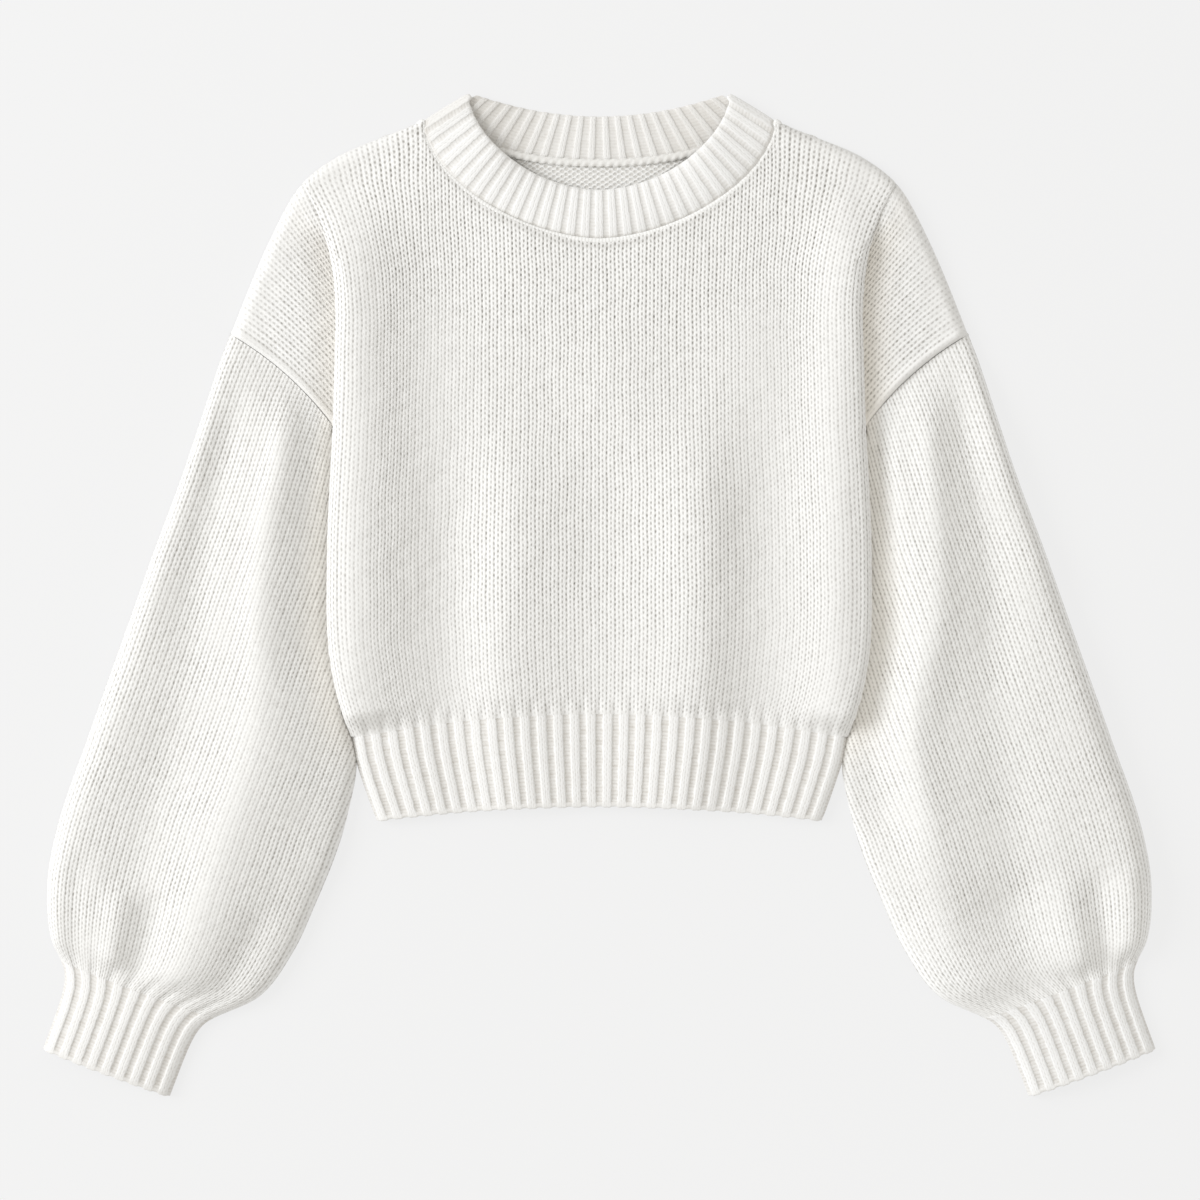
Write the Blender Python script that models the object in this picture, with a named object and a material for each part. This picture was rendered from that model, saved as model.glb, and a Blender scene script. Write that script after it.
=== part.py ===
"""Cropped knit sweater, laid flat on its back with the sleeves spread.

The neck points along +Y, the front of the garment faces +Z and the underside rests on Z = 0.
Left and right are the wearer's, so the right sleeve lies at -X.
Every size and table below is in millimetres, and the meshes are made in metres.
"""

import math
from collections import namedtuple

import bmesh
import bpy
from mathutils import Vector

METRES = 0.001
SHARP_ANGLE = math.radians(50.0)

# Cloth
WALL = 3.0
SEAM_GAP = 0.3
NECK_CLEARANCE = 0.45
LAYER_GAP = 0.3
FRONT_FLOOR = WALL + LAYER_GAP
FLAT_RIM = FRONT_FLOOR + WALL
ROLLED_RIM = FRONT_FLOOR + 0.5

# Body, right half seen from the front; the left half mirrors it
ARMPIT_Y = 117.0
HEM_SEAM_Y = -83.0
HEM_SEAM_DROP = 16.4
BODY_CORNER_X = 173.6
SLEEVE_TIP = Vector((258.4, 182.3))
ARMHOLE_BOW = 5.3

# Neck opening
NECK_POINT = Vector((123.2, 331.8))
NECK_DEPTH = 83.3
NECK_POWER = 1.735
COLLAR_TOP_POINT = Vector((91.3, 351.2))
COLLAR_TOP_DEPTH = 67.7
COLLAR_TOP_POWER = 1.8
BACK_NECK_Y = 303.1
BACK_NECK_POWER = 2.2
BACK_COLLAR_Y = 335.3
BACK_COLLAR_POWER = 1.9
COLLAR_WALL = 3.2
COLLAR_ARCH = 2.4
COLLAR_RIB = 1.6
COLLAR_LOW = FRONT_FLOOR + 0.1
COLLAR_FOLD_RADIUS = COLLAR_WALL + 1.2
FRONT_COLLAR_RIBS = 30
BACK_COLLAR_RIBS = 22
# Shares of the half collar: where its straight parts end beside the neck point, and where its ribs
# fade, its wall rises and its arch sinks on the way there
FRONT_COLLAR_END = 0.955
BACK_COLLAR_END = 0.945
FRONT_RIB_FADE = (0.9, 1.0)
BACK_RIB_FADE = (0.88, 0.94)
COLLAR_LIFT = (0.35, 0.85)
COLLAR_ARCH_FADE = (0.6, 1.0)

# Hem and cuffs
HEM_END_Y = -148.4
HEM_END_DROP = 10.0
HEM_END_X = 155.7
HEM_RIBS = 30
HEM_CROWN = 2.4
HEM_ROUNDNESS = 6
HEM_END_RELIEF = 0.6
CUFF_START = Vector((323.2, -275.7))
CUFF_ANGLE = math.radians(20.5)
CUFF_LENGTH = 62.6
CUFF_HALF_WIDTH = 47.4
CUFF_FLARE = 9.8
CUFF_FLARE_REACH = 9.0
CUFF_RIBS = 9
CUFF_CROWN = 2.8
CUFF_ROUNDNESS = 4
RIB_HEIGHT = 2.0

# Rolled edges
SIDE_STRIP = 9.0
FOLD_INSET = 3.0
FOLD_RUN = 1.5
ROLL_UNDERCUT = 0.9
EDGE_LEVEL = 3.3
TUBE_HEIGHT = 6.6
INNER_CLEARANCE = 0.1
SLEEVE_SEAM_GAP = 1.2 * SEAM_GAP
SLEEVE_SIDE_GAP = 2.0 * SEAM_GAP
SLEEVE_ROUNDNESS = 5

Level = namedtuple("Level", "y half_width")
Place = namedtuple("Place", "x y")
Share = namedtuple("Share", "along half_width")
SleeveStation = namedtuple("SleeveStation", "along inner_x inner_y outer_x outer_y crown")
BodyFold = namedtuple("BodyFold", "x_low y_low x_high y_high height half_width")
SleeveFold = namedtuple("SleeveFold", "across_0 along_0 across_1 along_1 height half_width")
UnderPoint = namedtuple("UnderPoint", "share inset level inner_level")
BandPoint = namedtuple("BandPoint", "share swell crest")
RibPoint = namedtuple("RibPoint", "share height")

# Body side from the hem up to the armpit, then the edge of the fold that stands over the shoulder
BODY_SIDE = (
    Level(-99.4, 173.6),
    Level(-65.0, 183.8),
    Level(-31.5, 189.0),
    Level(24.5, 189.7),
    Level(66.5, 188.3),
    Level(117.0, 185.5),
    Level(168.0, 184.0),
    Level(205.0, 183.6),
    Level(238.0, 187.6),
    Level(263.0, 196.0),
    Level(280.0, 214.5),
)

# Top of the shoulder from the neck point out to the sleeve tip
SHOULDER_LINE = (
    Place(123.2, 331.8),
    Place(148.0, 322.3),
    Place(181.3, 308.4),
    Place(202.6, 293.8),
    Place(214.5, 280.0),
    Place(229.3, 252.0),
    Place(241.6, 224.5),
    Place(258.4, 182.3),
)
BODY_SHOULDER_ROWS = 4

HEM_SIDE = (
    Share(0.0, 171.6),
    Share(0.3, 169.2),
    Share(0.65, 163.2),
    Share(1.0, 155.7),
)

SLEEVE_STATIONS = (
    SleeveStation(0.00, 185.5, 117.0, 258.4, 182.3, 0.4),
    SleeveStation(0.05, 186.7, 97.0, 265.8, 163.0, 4.0),
    SleeveStation(0.13, 188.6, 62.0, 277.0, 129.0, 8.0),
    SleeveStation(0.24, 190.1, 18.0, 293.5, 80.0, 10.0),
    SleeveStation(0.36, 189.0, -34.0, 311.8, 31.0, 10.5),
    SleeveStation(0.48, 177.5, -88.0, 329.8, -20.0, 11.0),
    SleeveStation(0.57, 170.6, -118.0, 345.5, -64.0, 11.5),
    SleeveStation(0.65, 174.5, -146.0, 360.0, -105.0, 12.0),
    SleeveStation(0.74, 184.0, -180.0, 376.0, -150.0, 12.0),
    SleeveStation(0.82, 199.5, -218.0, 385.0, -188.0, 12.0),
    SleeveStation(0.89, 214.5, -250.0, 386.6, -217.0, 11.0),
    SleeveStation(0.95, 237.0, -280.0, 383.8, -240.0, 8.0),
    SleeveStation(1.00, 269.6, -295.7, 376.8, -255.65, 3.0),
)

# The body's broad folds: the columns that stand over the sides, and the soft pair above the hem
BODY_BASE = 10.5
BODY_FOLD_FADING = 60.0
BODY_FOLDS = (
    BodyFold(171.0, -110.0, 166.0, 262.0, 12.0, 27.0),
    BodyFold(108.0, -110.0, 112.0, 230.0, -2.5, 26.0),
    BodyFold(62.0, -110.0, 52.0, 30.0, 4.5, 24.0),
    BodyFold(0.0, -110.0, 0.0, 60.0, -2.0, 22.0),
)
CAP_BASE = 11.0
SLEEVE_BASE = 3.6
# Shares of the height from armpit to shoulder over which the standing fold leaves the side seam,
# the side's roll opens out, and the cap meets the body again
FOLD_OPENING = 0.15
ROLL_OPENING = 0.12
CAP_JOIN = (0.8, 1.0)
# The side flares out above this level
FLARE_START_Y = 205.0

RIGHT_SLEEVE_FOLDS = (
    SleeveFold(0.36, 0.08, 0.44, 0.97, 9.0, 0.13),
    SleeveFold(0.88, 0.12, 0.78, 0.90, -4.0, 0.10),
    SleeveFold(0.13, 0.15, 0.16, 0.85, -4.0, 0.09),
    SleeveFold(0.70, 0.88, 0.70, 1.02, 4.5, 0.06),
    SleeveFold(0.28, 0.90, 0.30, 1.02, 4.0, 0.06),
)
LEFT_SLEEVE_FOLDS = (
    SleeveFold(0.28, 0.06, 0.24, 0.92, 6.0, 0.11),
    SleeveFold(0.52, 0.08, 0.38, 0.86, -5.0, 0.09),
    SleeveFold(0.78, 0.14, 0.72, 0.96, 7.0, 0.15),
    SleeveFold(0.34, 0.90, 0.34, 1.02, 4.0, 0.06),
    SleeveFold(0.62, 0.88, 0.62, 1.02, 4.5, 0.06),
)

# Underside of a flattened tube, from its far edge back to its near one: share of the way, distance
# in from the edge, and levels of the outer and the inner face
TUBE_UNDERSIDE = (
    UnderPoint(0.0, 1.0, 0.9, WALL + 0.2),
    UnderPoint(0.0, 3.2, 0.0, WALL),
    UnderPoint(0.33, 3.2, 0.0, WALL),
    UnderPoint(0.67, 3.2, 0.0, WALL),
    UnderPoint(1.0, 3.2, 0.0, WALL),
    UnderPoint(1.0, 1.0, 0.9, WALL + 0.2),
)
# Across the collar from seam to free edge: share of the width, of the arch and of a rib's height
BAND_SECTION = (
    BandPoint(0.0, 0.0, 0.5),
    BandPoint(0.3, 0.9, 1.0),
    BandPoint(0.72, 1.0, 1.0),
    BandPoint(1.0, 0.35, 0.5),
)
FOLD_SHARES = (0.1, 0.35, 0.72, 1.0)
# Across one rib: share of its pitch and of its height
RIB_SECTION = (RibPoint(0.0, 0.0), RibPoint(0.32, 1.0), RibPoint(0.68, 1.0))

# Grid densities
EDGE_PLACES = (0.0, 0.8, 2.5, 5.0)
SLEEVE_COLUMNS = 13
SLEEVE_ROWS = (
    (0.0, 0.012, 0.035, 0.07, 0.12)
    + tuple(0.12 + 0.055 * i for i in range(1, 15))
    + (0.93, 0.96, 0.985, 1.0)
)
HEM_ROWS = (0.0, 0.1, 0.4, 0.7, 0.95, 1.0)
CUFF_ROWS = (0.0, 5.0, 14.0, 30.0, 46.0, 59.0, CUFF_LENGTH)
BACK_HEM_STEPS = 6
BACK_SIDE_STEPS = 8
BACK_ARMHOLE_STEPS = 6
BACK_SHOULDER_STEPS = 14
BACK_NECK_STEPS = 12
BACK_INSET = 0.5
NECK_COLUMNS = 12
SHOULDER_COLUMNS = 7
CAP_COLUMNS = 5
LOWER_ROWS = (0.0, 0.012, 0.045, 0.12, 0.24, 0.38, 0.52, 0.66, 0.8, 0.92, 1.0)
UPPER_ROWS = (0.06, 0.13, 0.23, 0.35, 0.48, 0.61, 0.73, 0.84, 0.92, 0.97, 0.992, 1.0)
NECK_SHARE = 0.584
SEAM_ROUND = 8.0
HEM_ROUND = 10.0
SIDE_ROUND = 9.0
FLARE_POWER = 6

KNIT_COLOUR = (0.83, 0.82, 0.79, 1.0)
RIB_COLOUR = (0.85, 0.84, 0.81, 1.0)
CLOTH_ROUGHNESS = 0.9


def smooth(value):
    """A step from 0 to 1 with level ends."""
    t = min(max(value, 0.0), 1.0)
    return t * t * (3.0 - 2.0 * t)


def ramp(value, ends):
    """The same step between the two ends."""
    return smooth((value - ends[0]) / (ends[1] - ends[0]))


def bump(distance, half_width):
    """A soft ridge: 1 on its line and nearly 0 two half widths away."""
    return math.exp(-((distance / half_width) ** 2))


def rounded(distance, radius):
    """The rise of a round edge: 0 at the edge and 1 from its radius on."""
    t = 1.0 - min(max(distance / radius, 0.0), 1.0)
    return math.sqrt(1.0 - t * t)


def curve(keys, values):
    """A smooth function through the values, flat beyond the ends."""

    def slope(i):
        low, high = max(i - 1, 0), min(i + 1, len(keys) - 1)
        return (values[high] - values[low]) / (keys[high] - keys[low])

    def read(at):
        at = min(max(at, keys[0]), keys[-1])
        i = 0
        while i < len(keys) - 2 and at > keys[i + 1]:
            i += 1
        run = keys[i + 1] - keys[i]
        t = (at - keys[i]) / run
        start = values[i] * (1 - t) ** 2 * (1 + 2 * t) + slope(i) * run * t * (1 - t) ** 2
        end = values[i + 1] * t * t * (3 - 2 * t) - slope(i + 1) * run * t * t * (1 - t)
        return start + end

    return read


def column(table, key, value):
    """The curve of one named column of a table against another."""
    return curve([getattr(row, key) for row in table], [getattr(row, value) for row in table])


body_side = column(BODY_SIDE, "y", "half_width")
hem_side = column(HEM_SIDE, "along", "half_width")
sleeve_curves = {
    name: column(SLEEVE_STATIONS, "along", name)
    for name in ("inner_x", "inner_y", "outer_x", "outer_y", "crown")
}


def chord_keys(places):
    """Running length along a list of places, as keys for curve()."""
    keys = [0.0]
    for a, b in zip(places, places[1:]):
        keys.append(keys[-1] + math.hypot(b.x - a.x, b.y - a.y))
    return keys


SHOULDER_KEYS = chord_keys(SHOULDER_LINE)
BODY_SHOULDER_LENGTH = SHOULDER_KEYS[BODY_SHOULDER_ROWS]
SHOULDER_LENGTH = SHOULDER_KEYS[-1]
shoulder_x = curve(SHOULDER_KEYS, [p.x for p in SHOULDER_LINE])
shoulder_y = curve(SHOULDER_KEYS, [p.y for p in SHOULDER_LINE])


def shoulder(length):
    return Vector((shoulder_x(length), shoulder_y(length)))


def neckline(angle, grow=0.0):
    """Front neck seam from the centre (0) to the neck point (a quarter turn)."""
    power = 2.0 / NECK_POWER
    x = (NECK_POINT.x + grow) * math.sin(angle) ** power
    y = NECK_POINT.y - (NECK_DEPTH + grow) * max(math.cos(angle), 0.0) ** power
    return Vector((x, y))


def collar_top(angle):
    """Free edge of the front collar, matched to neckline() angle by angle."""
    power = 2.0 / COLLAR_TOP_POWER
    x = COLLAR_TOP_POINT.x * math.sin(angle) ** power
    y = COLLAR_TOP_POINT.y - COLLAR_TOP_DEPTH * max(math.cos(angle), 0.0) ** power
    return Vector((x, y))


def back_neckline(x):
    rise = NECK_POINT.y - BACK_NECK_Y
    return BACK_NECK_Y + rise * (abs(x) / NECK_POINT.x) ** BACK_NECK_POWER


def back_collar_top(x):
    rise = COLLAR_TOP_POINT.y - BACK_COLLAR_Y
    return BACK_COLLAR_Y + rise * (abs(x) / COLLAR_TOP_POINT.x) ** BACK_COLLAR_POWER


def hem_seam(x):
    return HEM_SEAM_Y - HEM_SEAM_DROP * (x / BODY_CORNER_X) ** 2


def hem_end(x):
    return HEM_END_Y - HEM_END_DROP * (x / HEM_END_X) ** 2


def armhole(share):
    """Armhole seam from the armpit (0) to the sleeve tip (1)."""
    armpit = Vector((body_side(ARMPIT_Y), ARMPIT_Y))
    run = SLEEVE_TIP - armpit
    across = Vector((-run.y, run.x)).normalized()
    return armpit + run * share + across * ARMHOLE_BOW * 4 * share * (1 - share)


def fold_sum(folds, x, y):
    """Height that the body's folds add at a place."""
    total = 0.0
    for fold in folds:
        along = (y - fold.y_low) / (fold.y_high - fold.y_low)
        middle = fold.x_low + (fold.x_high - fold.x_low) * along
        fade = smooth((fold.y_high - y) / BODY_FOLD_FADING + 0.5)
        total += fold.height * fade * bump(abs(x) - middle, fold.half_width)
    return total


def sleeve_fold_sum(folds, across, along):
    """Height that a sleeve's folds add, at shares of its width and length."""
    total = 0.0
    for fold in folds:
        t = (along - fold.along_0) / (fold.along_1 - fold.along_0)
        middle = fold.across_0 + (fold.across_1 - fold.across_0) * min(max(t, 0.0), 1.0)
        fade = smooth(t * 4.0 + 0.5) * smooth((1.0 - t) * 5.0 + 0.5)
        total += fold.height * fade * bump(across - middle, fold.half_width)
    return total


# Meshes


def sweater_material(name, colour):
    material = bpy.data.materials.new(name)
    material.use_nodes = True
    shader = material.node_tree.nodes["Principled BSDF"]
    shader.inputs["Base Color"].default_value = colour
    shader.inputs["Roughness"].default_value = CLOTH_ROUGHNESS
    shader.inputs["Metallic"].default_value = 0.0
    material.diffuse_color = colour
    return material


def add_object(name, mesh_builder, collection, colour):
    """Turns a bmesh in millimetres into a smooth shaded object in metres."""
    bmesh.ops.scale(mesh_builder, vec=(METRES, METRES, METRES), verts=mesh_builder.verts)
    bmesh.ops.recalc_face_normals(mesh_builder, faces=mesh_builder.faces)
    mesh = bpy.data.meshes.new(name)
    mesh_builder.to_mesh(mesh)
    mesh_builder.free()
    mesh.shade_smooth()
    mesh.set_sharp_from_angle(angle=SHARP_ANGLE)
    mesh.materials.append(sweater_material(name + "_cloth", colour))
    part = bpy.data.objects.new(name, mesh)
    collection.objects.link(part)
    return part


def grid_faces(builder, rows):
    """Quads between neighbouring rows of vertices."""
    for low, high in zip(rows, rows[1:]):
        for i in range(len(low) - 1):
            builder.faces.new((low[i], low[i + 1], high[i + 1], high[i]))


def sheet_wall(top, bottom):
    """Closed wall between two grids of the same size, joined round their border."""
    builder = bmesh.new()
    upper = [[builder.verts.new(p) for p in row] for row in top]
    lower = [[builder.verts.new(p) for p in row] for row in bottom]
    grid_faces(builder, upper)
    grid_faces(builder, [row[::-1] for row in lower])
    grid_faces(builder, [lower[0], upper[0]])
    grid_faces(builder, [upper[-1], lower[-1]])
    grid_faces(builder, [[row[0] for row in upper], [row[0] for row in lower]])
    grid_faces(builder, [[row[-1] for row in lower], [row[-1] for row in upper]])
    return builder


def tube_wall(outer, inner):
    """Closed wall between rings, open through the middle at both ends."""
    builder = bmesh.new()

    def close(rings):
        made = [[builder.verts.new(p) for p in ring] for ring in rings]
        return [ring + ring[:1] for ring in made]

    outside, inside = close(outer), close(inner)
    grid_faces(builder, outside)
    grid_faces(builder, [ring[::-1] for ring in inside])
    grid_faces(builder, [inside[0], outside[0]])
    grid_faces(builder, [outside[-1], inside[-1]])
    return builder


def loop_wall(loops):
    """Closed ring through sections that follow each other all the way round."""
    builder = bmesh.new()
    made = [[builder.verts.new(p) for p in loop] for loop in loops]
    rows = [loop + loop[:1] for loop in made]
    grid_faces(builder, rows + rows[:1])
    return builder


# Front panel


def front_columns():
    """Columns of the right half: the wales under the neck, under the shoulder and over the cap."""
    columns = []
    for i in range(NECK_COLUMNS + 1):
        top = neckline(0.5 * math.pi * i / NECK_COLUMNS, NECK_CLEARANCE)
        columns.append(("body", NECK_SHARE * top.x / (NECK_POINT.x + NECK_CLEARANCE), top))
    for i in range(1, SHOULDER_COLUMNS + 1):
        share = i / SHOULDER_COLUMNS
        top = shoulder(BODY_SHOULDER_LENGTH * share)
        columns.append(("body", NECK_SHARE + (1 - NECK_SHARE) * share, top))
    for i in range(1, CAP_COLUMNS + 1):
        columns.append(("cap", i / CAP_COLUMNS, None))
    return columns


def body_x(share, y, inset):
    """Half width share of the body at a level, with the flare at the shoulder kept to its edge."""
    core = body_side(min(y, FLARE_START_Y))
    flare = body_side(y) - core
    return share * (core - inset) + flare * share**FLARE_POWER


def fold_line(rise):
    """Edge of the standing fold above the armpit, from 0 there to 1 at the shoulder line."""
    y = ARMPIT_Y + (BODY_SIDE[-1].y - ARMPIT_Y) * rise
    return Vector((body_side(y), y))


def cap_place(share, rise):
    """Place on the cap, between the fold's foot and the armhole seam."""
    foot_share = (share * CAP_COLUMNS - 1) / (CAP_COLUMNS - 1)
    opening = smooth(rise / FOLD_OPENING)
    strip = fold_line(rise) - Vector((SIDE_STRIP * (1 - share), 0.0))
    foot = fold_line(rise) + Vector((FOLD_RUN, 0.0))
    fan = foot.lerp(armhole(rise), foot_share)
    top_foot = fold_line(1.0) + Vector((FOLD_RUN, 0.0))
    end = shoulder(BODY_SHOULDER_LENGTH + (SHOULDER_LENGTH - BODY_SHOULDER_LENGTH) * foot_share)
    fan += (end - top_foot.lerp(SLEEVE_TIP, foot_share)) * rise * rise
    return strip.lerp(fan, opening)


def front_plan():
    """Rows of places over the right half, each with its zone."""
    rows = []
    for low in LOWER_ROWS:
        row = []
        for zone, share, _ in front_columns():
            if zone == "body":
                x_hem = body_x(share, BODY_SIDE[0].y, SIDE_STRIP)
            else:
                x_hem = BODY_CORNER_X - SIDE_STRIP * (1 - share)
            y = hem_seam(x_hem) + (ARMPIT_Y - hem_seam(x_hem)) * low
            if zone == "body":
                row.append(Vector((body_x(share, y, SIDE_STRIP), y)))
            else:
                row.append(Vector((body_side(y) - SIDE_STRIP * (1 - share), y)))
        rows.append(row)
    for rise in UPPER_ROWS:
        row = []
        inset = SIDE_STRIP + (FOLD_INSET - SIDE_STRIP) * smooth(rise / FOLD_OPENING)
        inset *= 1 - rise**4
        for zone, share, top in front_columns():
            if zone == "body":
                y = ARMPIT_Y + (top.y - ARMPIT_Y) * rise
                drift = top.x - body_x(share, top.y, 0.0)
                row.append(Vector((body_x(share, y, inset) + drift * rise * rise, y)))
            else:
                row.append(cap_place(share, rise))
        rows.append(row)
    return rows


def run_from(places, index):
    """Length along a list of places from one of them to the last."""
    return sum((b - a).length for a, b in zip(places[index:], places[index + 1 :]))


def front_heights(plan):
    """Top of the front panel over each place of the right half."""
    zones = [zone for zone, _, _ in front_columns()]
    heights = []
    for j, row in enumerate(plan):
        rise = 0.0 if j < len(LOWER_ROWS) else UPPER_ROWS[j - len(LOWER_ROWS)]
        flat = smooth(rise / ROLL_OPENING)
        line = []
        for i, place in enumerate(row):
            body = BODY_BASE + fold_sum(BODY_FOLDS, place.x, place.y)
            full = body
            if zones[i] == "cap":
                join = ramp(rise, CAP_JOIN) * (1 - i / (len(row) - 1))
                full += (CAP_BASE + (body - CAP_BASE) * join - body) * flat
            rim = ROLLED_RIM + (FLAT_RIM - ROLLED_RIM) * (flat if i == len(row) - 1 else 1.0)
            col = [r[i] for r in plan]
            side = rounded(run_from(row, i), SIDE_ROUND)
            top = rounded(run_from(col, j), SEAM_ROUND)
            hem = rounded(run_from(col[::-1], len(col) - 1 - j), HEM_ROUND)
            if top * hem == 0.0:
                rim = FLAT_RIM
            line.append(rim + (full - rim) * side * top * hem)
        heights.append(line)
    return heights


def mirrored(row):
    """A row of points over both halves, from the left edge to the right edge."""
    left = [Vector((-p.x, p.y, p.z)) for p in row[:0:-1]]
    return left + list(row)


def surface_normals(grid):
    """Upward unit normal at each point of a grid."""
    normals = []
    for j, row in enumerate(grid):
        below, above = grid[max(j - 1, 0)], grid[min(j + 1, len(grid) - 1)]
        line = []
        for i in range(len(row)):
            left, right = row[max(i - 1, 0)], row[min(i + 1, len(row) - 1)]
            line.append((right - left).cross(above[i] - below[i]).normalized())
        normals.append(line)
    return normals


def front_panel(collection):
    """Front of the sweater with both shoulder caps, its sides curled down to the back."""
    plan = front_plan()
    heights = front_heights(plan)
    half = [[Vector((p.x, p.y, z)) for p, z in zip(*pair)] for pair in zip(plan, heights)]
    top = [mirrored(row) for row in half]
    bottom = []
    for row, normals in zip(top, surface_normals(top)):
        line = [p - n * WALL for p, n in zip(row, normals)]
        for p in line:
            p.z = max(p.z, FRONT_FLOOR)
        bottom.append(line)
    for j, row in enumerate(bottom):
        for i in (0, len(row) - 1):
            rolled = (FLAT_RIM - top[j][i].z) / (FLAT_RIM - ROLLED_RIM)
            row[i] = top[j][i].copy()
            row[i].x -= math.copysign(ROLL_UNDERCUT * WALL * max(rolled, 0.0), row[i].x)
            row[i].z = FRONT_FLOOR
    for j in (0, -1):
        for i in range(1, len(top[j]) - 1):
            bottom[j][i] = Vector((top[j][i].x, top[j][i].y, FRONT_FLOOR))
    return add_object("front", sheet_wall(top, bottom), collection, KNIT_COLOUR)


# Back panel


def back_outline():
    """Right half of the back panel's outline, from the hem's centre round to the neck's."""
    inset = Vector((BACK_INSET, 0.0))
    corner = BODY_CORNER_X - inset.x
    points = []
    for i in range(BACK_HEM_STEPS + 1):
        x = corner * i / BACK_HEM_STEPS
        points.append(Vector((x, hem_seam(x))))
    for i in range(1, BACK_SIDE_STEPS + 1):
        y = hem_seam(corner) + (ARMPIT_Y - hem_seam(corner)) * i / BACK_SIDE_STEPS
        points.append(Vector((body_side(y), y)) - inset)
    points += [armhole(i / BACK_ARMHOLE_STEPS) for i in range(1, BACK_ARMHOLE_STEPS)]
    for i in range(BACK_SHOULDER_STEPS):
        points.append(shoulder(SHOULDER_LENGTH * (1 - i / BACK_SHOULDER_STEPS)))
    for i in range(BACK_NECK_STEPS):
        x = (NECK_POINT.x + SEAM_GAP) * (1 - i / BACK_NECK_STEPS)
        points.append(Vector((x, back_neckline(x) - SEAM_GAP)))
    points.append(Vector((0.0, BACK_NECK_Y - SEAM_GAP)))
    return points


def back_panel(collection):
    """Back of the sweater, flat on the surface."""
    right = back_outline()
    left = [Vector((-p.x, p.y)) for p in right[-2:0:-1]]
    outline = bpy.data.curves.new("back", "CURVE")
    outline.dimensions = "2D"
    outline.fill_mode = "BOTH"
    outline.extrude = 0.5 * WALL * METRES
    line = outline.splines.new("POLY")
    line.points.add(len(right) + len(left) - 1)
    for point, place in zip(line.points, right + left):
        point.co = (place.x * METRES, place.y * METRES, 0.0, 1.0)
    line.use_cyclic_u = True
    outline.materials.append(sweater_material("back_cloth", KNIT_COLOUR))
    part = bpy.data.objects.new("back", outline)
    part.location.z = 0.5 * WALL * METRES
    collection.objects.link(part)
    return part


# Flattened tubes: sleeves, cuffs and hem


def across_places(width, middle_shares):
    """Distances over a flattened tube, close together at its two rolled edges."""
    flat_width = width - 2 * EDGE_PLACES[-1]
    inside = [EDGE_PLACES[-1] + flat_width * share for share in middle_shares]
    return list(EDGE_PLACES) + inside + [width - d for d in EDGE_PLACES[::-1]]


def tube_rings(start, end, bow, places, heights, ribs):
    """Outer and inner ring of a flattened tube between two places of its plan.

    places are distances from start, and heights and ribs give the top's height there.
    """
    run = end - start
    width = run.length
    along = run / width
    normal = Vector((-along.y, along.x))

    def at(distance, z):
        share = distance / width
        place = start + along * distance + normal * bow * 4 * share * (1 - share)
        return Vector((place.x, place.y, z))

    squeeze = (width - 2 * WALL) / width
    outer, inner = [], []
    for distance, height, rib in zip(places, heights, ribs):
        edge = rounded(min(distance, width - distance), SEAM_ROUND)
        outer.append(at(distance, EDGE_LEVEL + (height + rib - EDGE_LEVEL) * edge))
        rise = (height - 2 * WALL - LAYER_GAP) * edge
        level = EDGE_LEVEL + max(rise, 0.0) + INNER_CLEARANCE * edge
        inner.append(at(WALL + distance * squeeze, level))
    for point in TUBE_UNDERSIDE:
        distance = (width - point.inset) * (1 - point.share) + point.inset * point.share
        outer.append(at(distance, point.level))
        inner.append(at(WALL + distance * squeeze, point.inner_level))
    return outer, inner


def rib_places(count):
    """Shares over a ribbed top, three to a rib, and the height at each place of across_places()."""
    shares, heights = [], []
    for i in range(count):
        for point in RIB_SECTION:
            if i > 0 or point.share > 0.0:
                shares.append((i + point.share) / count)
                heights.append(point.height)
    ends = [0.0] * len(EDGE_PLACES)
    return shares, ends + heights + ends


def flat_heights(places, crown, roundness):
    """Height of a flattened band's top at distances over it, highest in the middle."""
    width = places[-1]
    return [TUBE_HEIGHT + crown * (1 - abs(2 * d / width - 1) ** roundness) for d in places]


def hem(collection):
    """Ribbed hem band, all round."""
    shares, ribs = rib_places(HEM_RIBS)
    outer, inner = [], []
    for along in HEM_ROWS:
        half = hem_side(along)
        places = across_places(2 * half, shares)
        height = flat_heights(places, HEM_CROWN, HEM_ROUNDNESS)
        rib_height = RIB_HEIGHT if 0.0 < along < 1.0 else RIB_HEIGHT * HEM_END_RELIEF
        relief = [rib_height * r for r in ribs]
        start, end = Vector((-half, 0.0)), Vector((half, 0.0))
        for ring, made in zip((outer, inner), tube_rings(start, end, 0.0, places, height, relief)):
            for p in made:
                top, bottom = hem_seam(p.x) - SEAM_GAP, hem_end(p.x)
                p.y = top + (bottom - top) * along
            ring.append(made)
    return add_object("hem_rib", tube_wall(outer, inner), collection, RIB_COLOUR)


def cuff_half_width(distance):
    return CUFF_HALF_WIDTH + CUFF_FLARE * math.exp(-distance / CUFF_FLARE_REACH)


def cuff(name, side, collection):
    """Ribbed cuff at the end of a sleeve."""
    down = Vector((math.sin(CUFF_ANGLE), -math.cos(CUFF_ANGLE)))
    across = Vector((-down.y, down.x))
    shares, ribs = rib_places(CUFF_RIBS)
    outer, inner = [], []
    for distance in CUFF_ROWS:
        half = cuff_half_width(distance)
        places = across_places(2 * half, shares)
        height = flat_heights(places, CUFF_CROWN, CUFF_ROUNDNESS)
        relief = [RIB_HEIGHT * r for r in ribs]
        middle = CUFF_START + down * (distance + SEAM_GAP)
        start, end = middle - across * half, middle + across * half
        for ring, made in zip((outer, inner), tube_rings(start, end, 0.0, places, height, relief)):
            ring.append([Vector((side * p.x, p.y, p.z)) for p in made])
    return add_object(name, tube_wall(outer, inner), collection, RIB_COLOUR)


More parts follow.
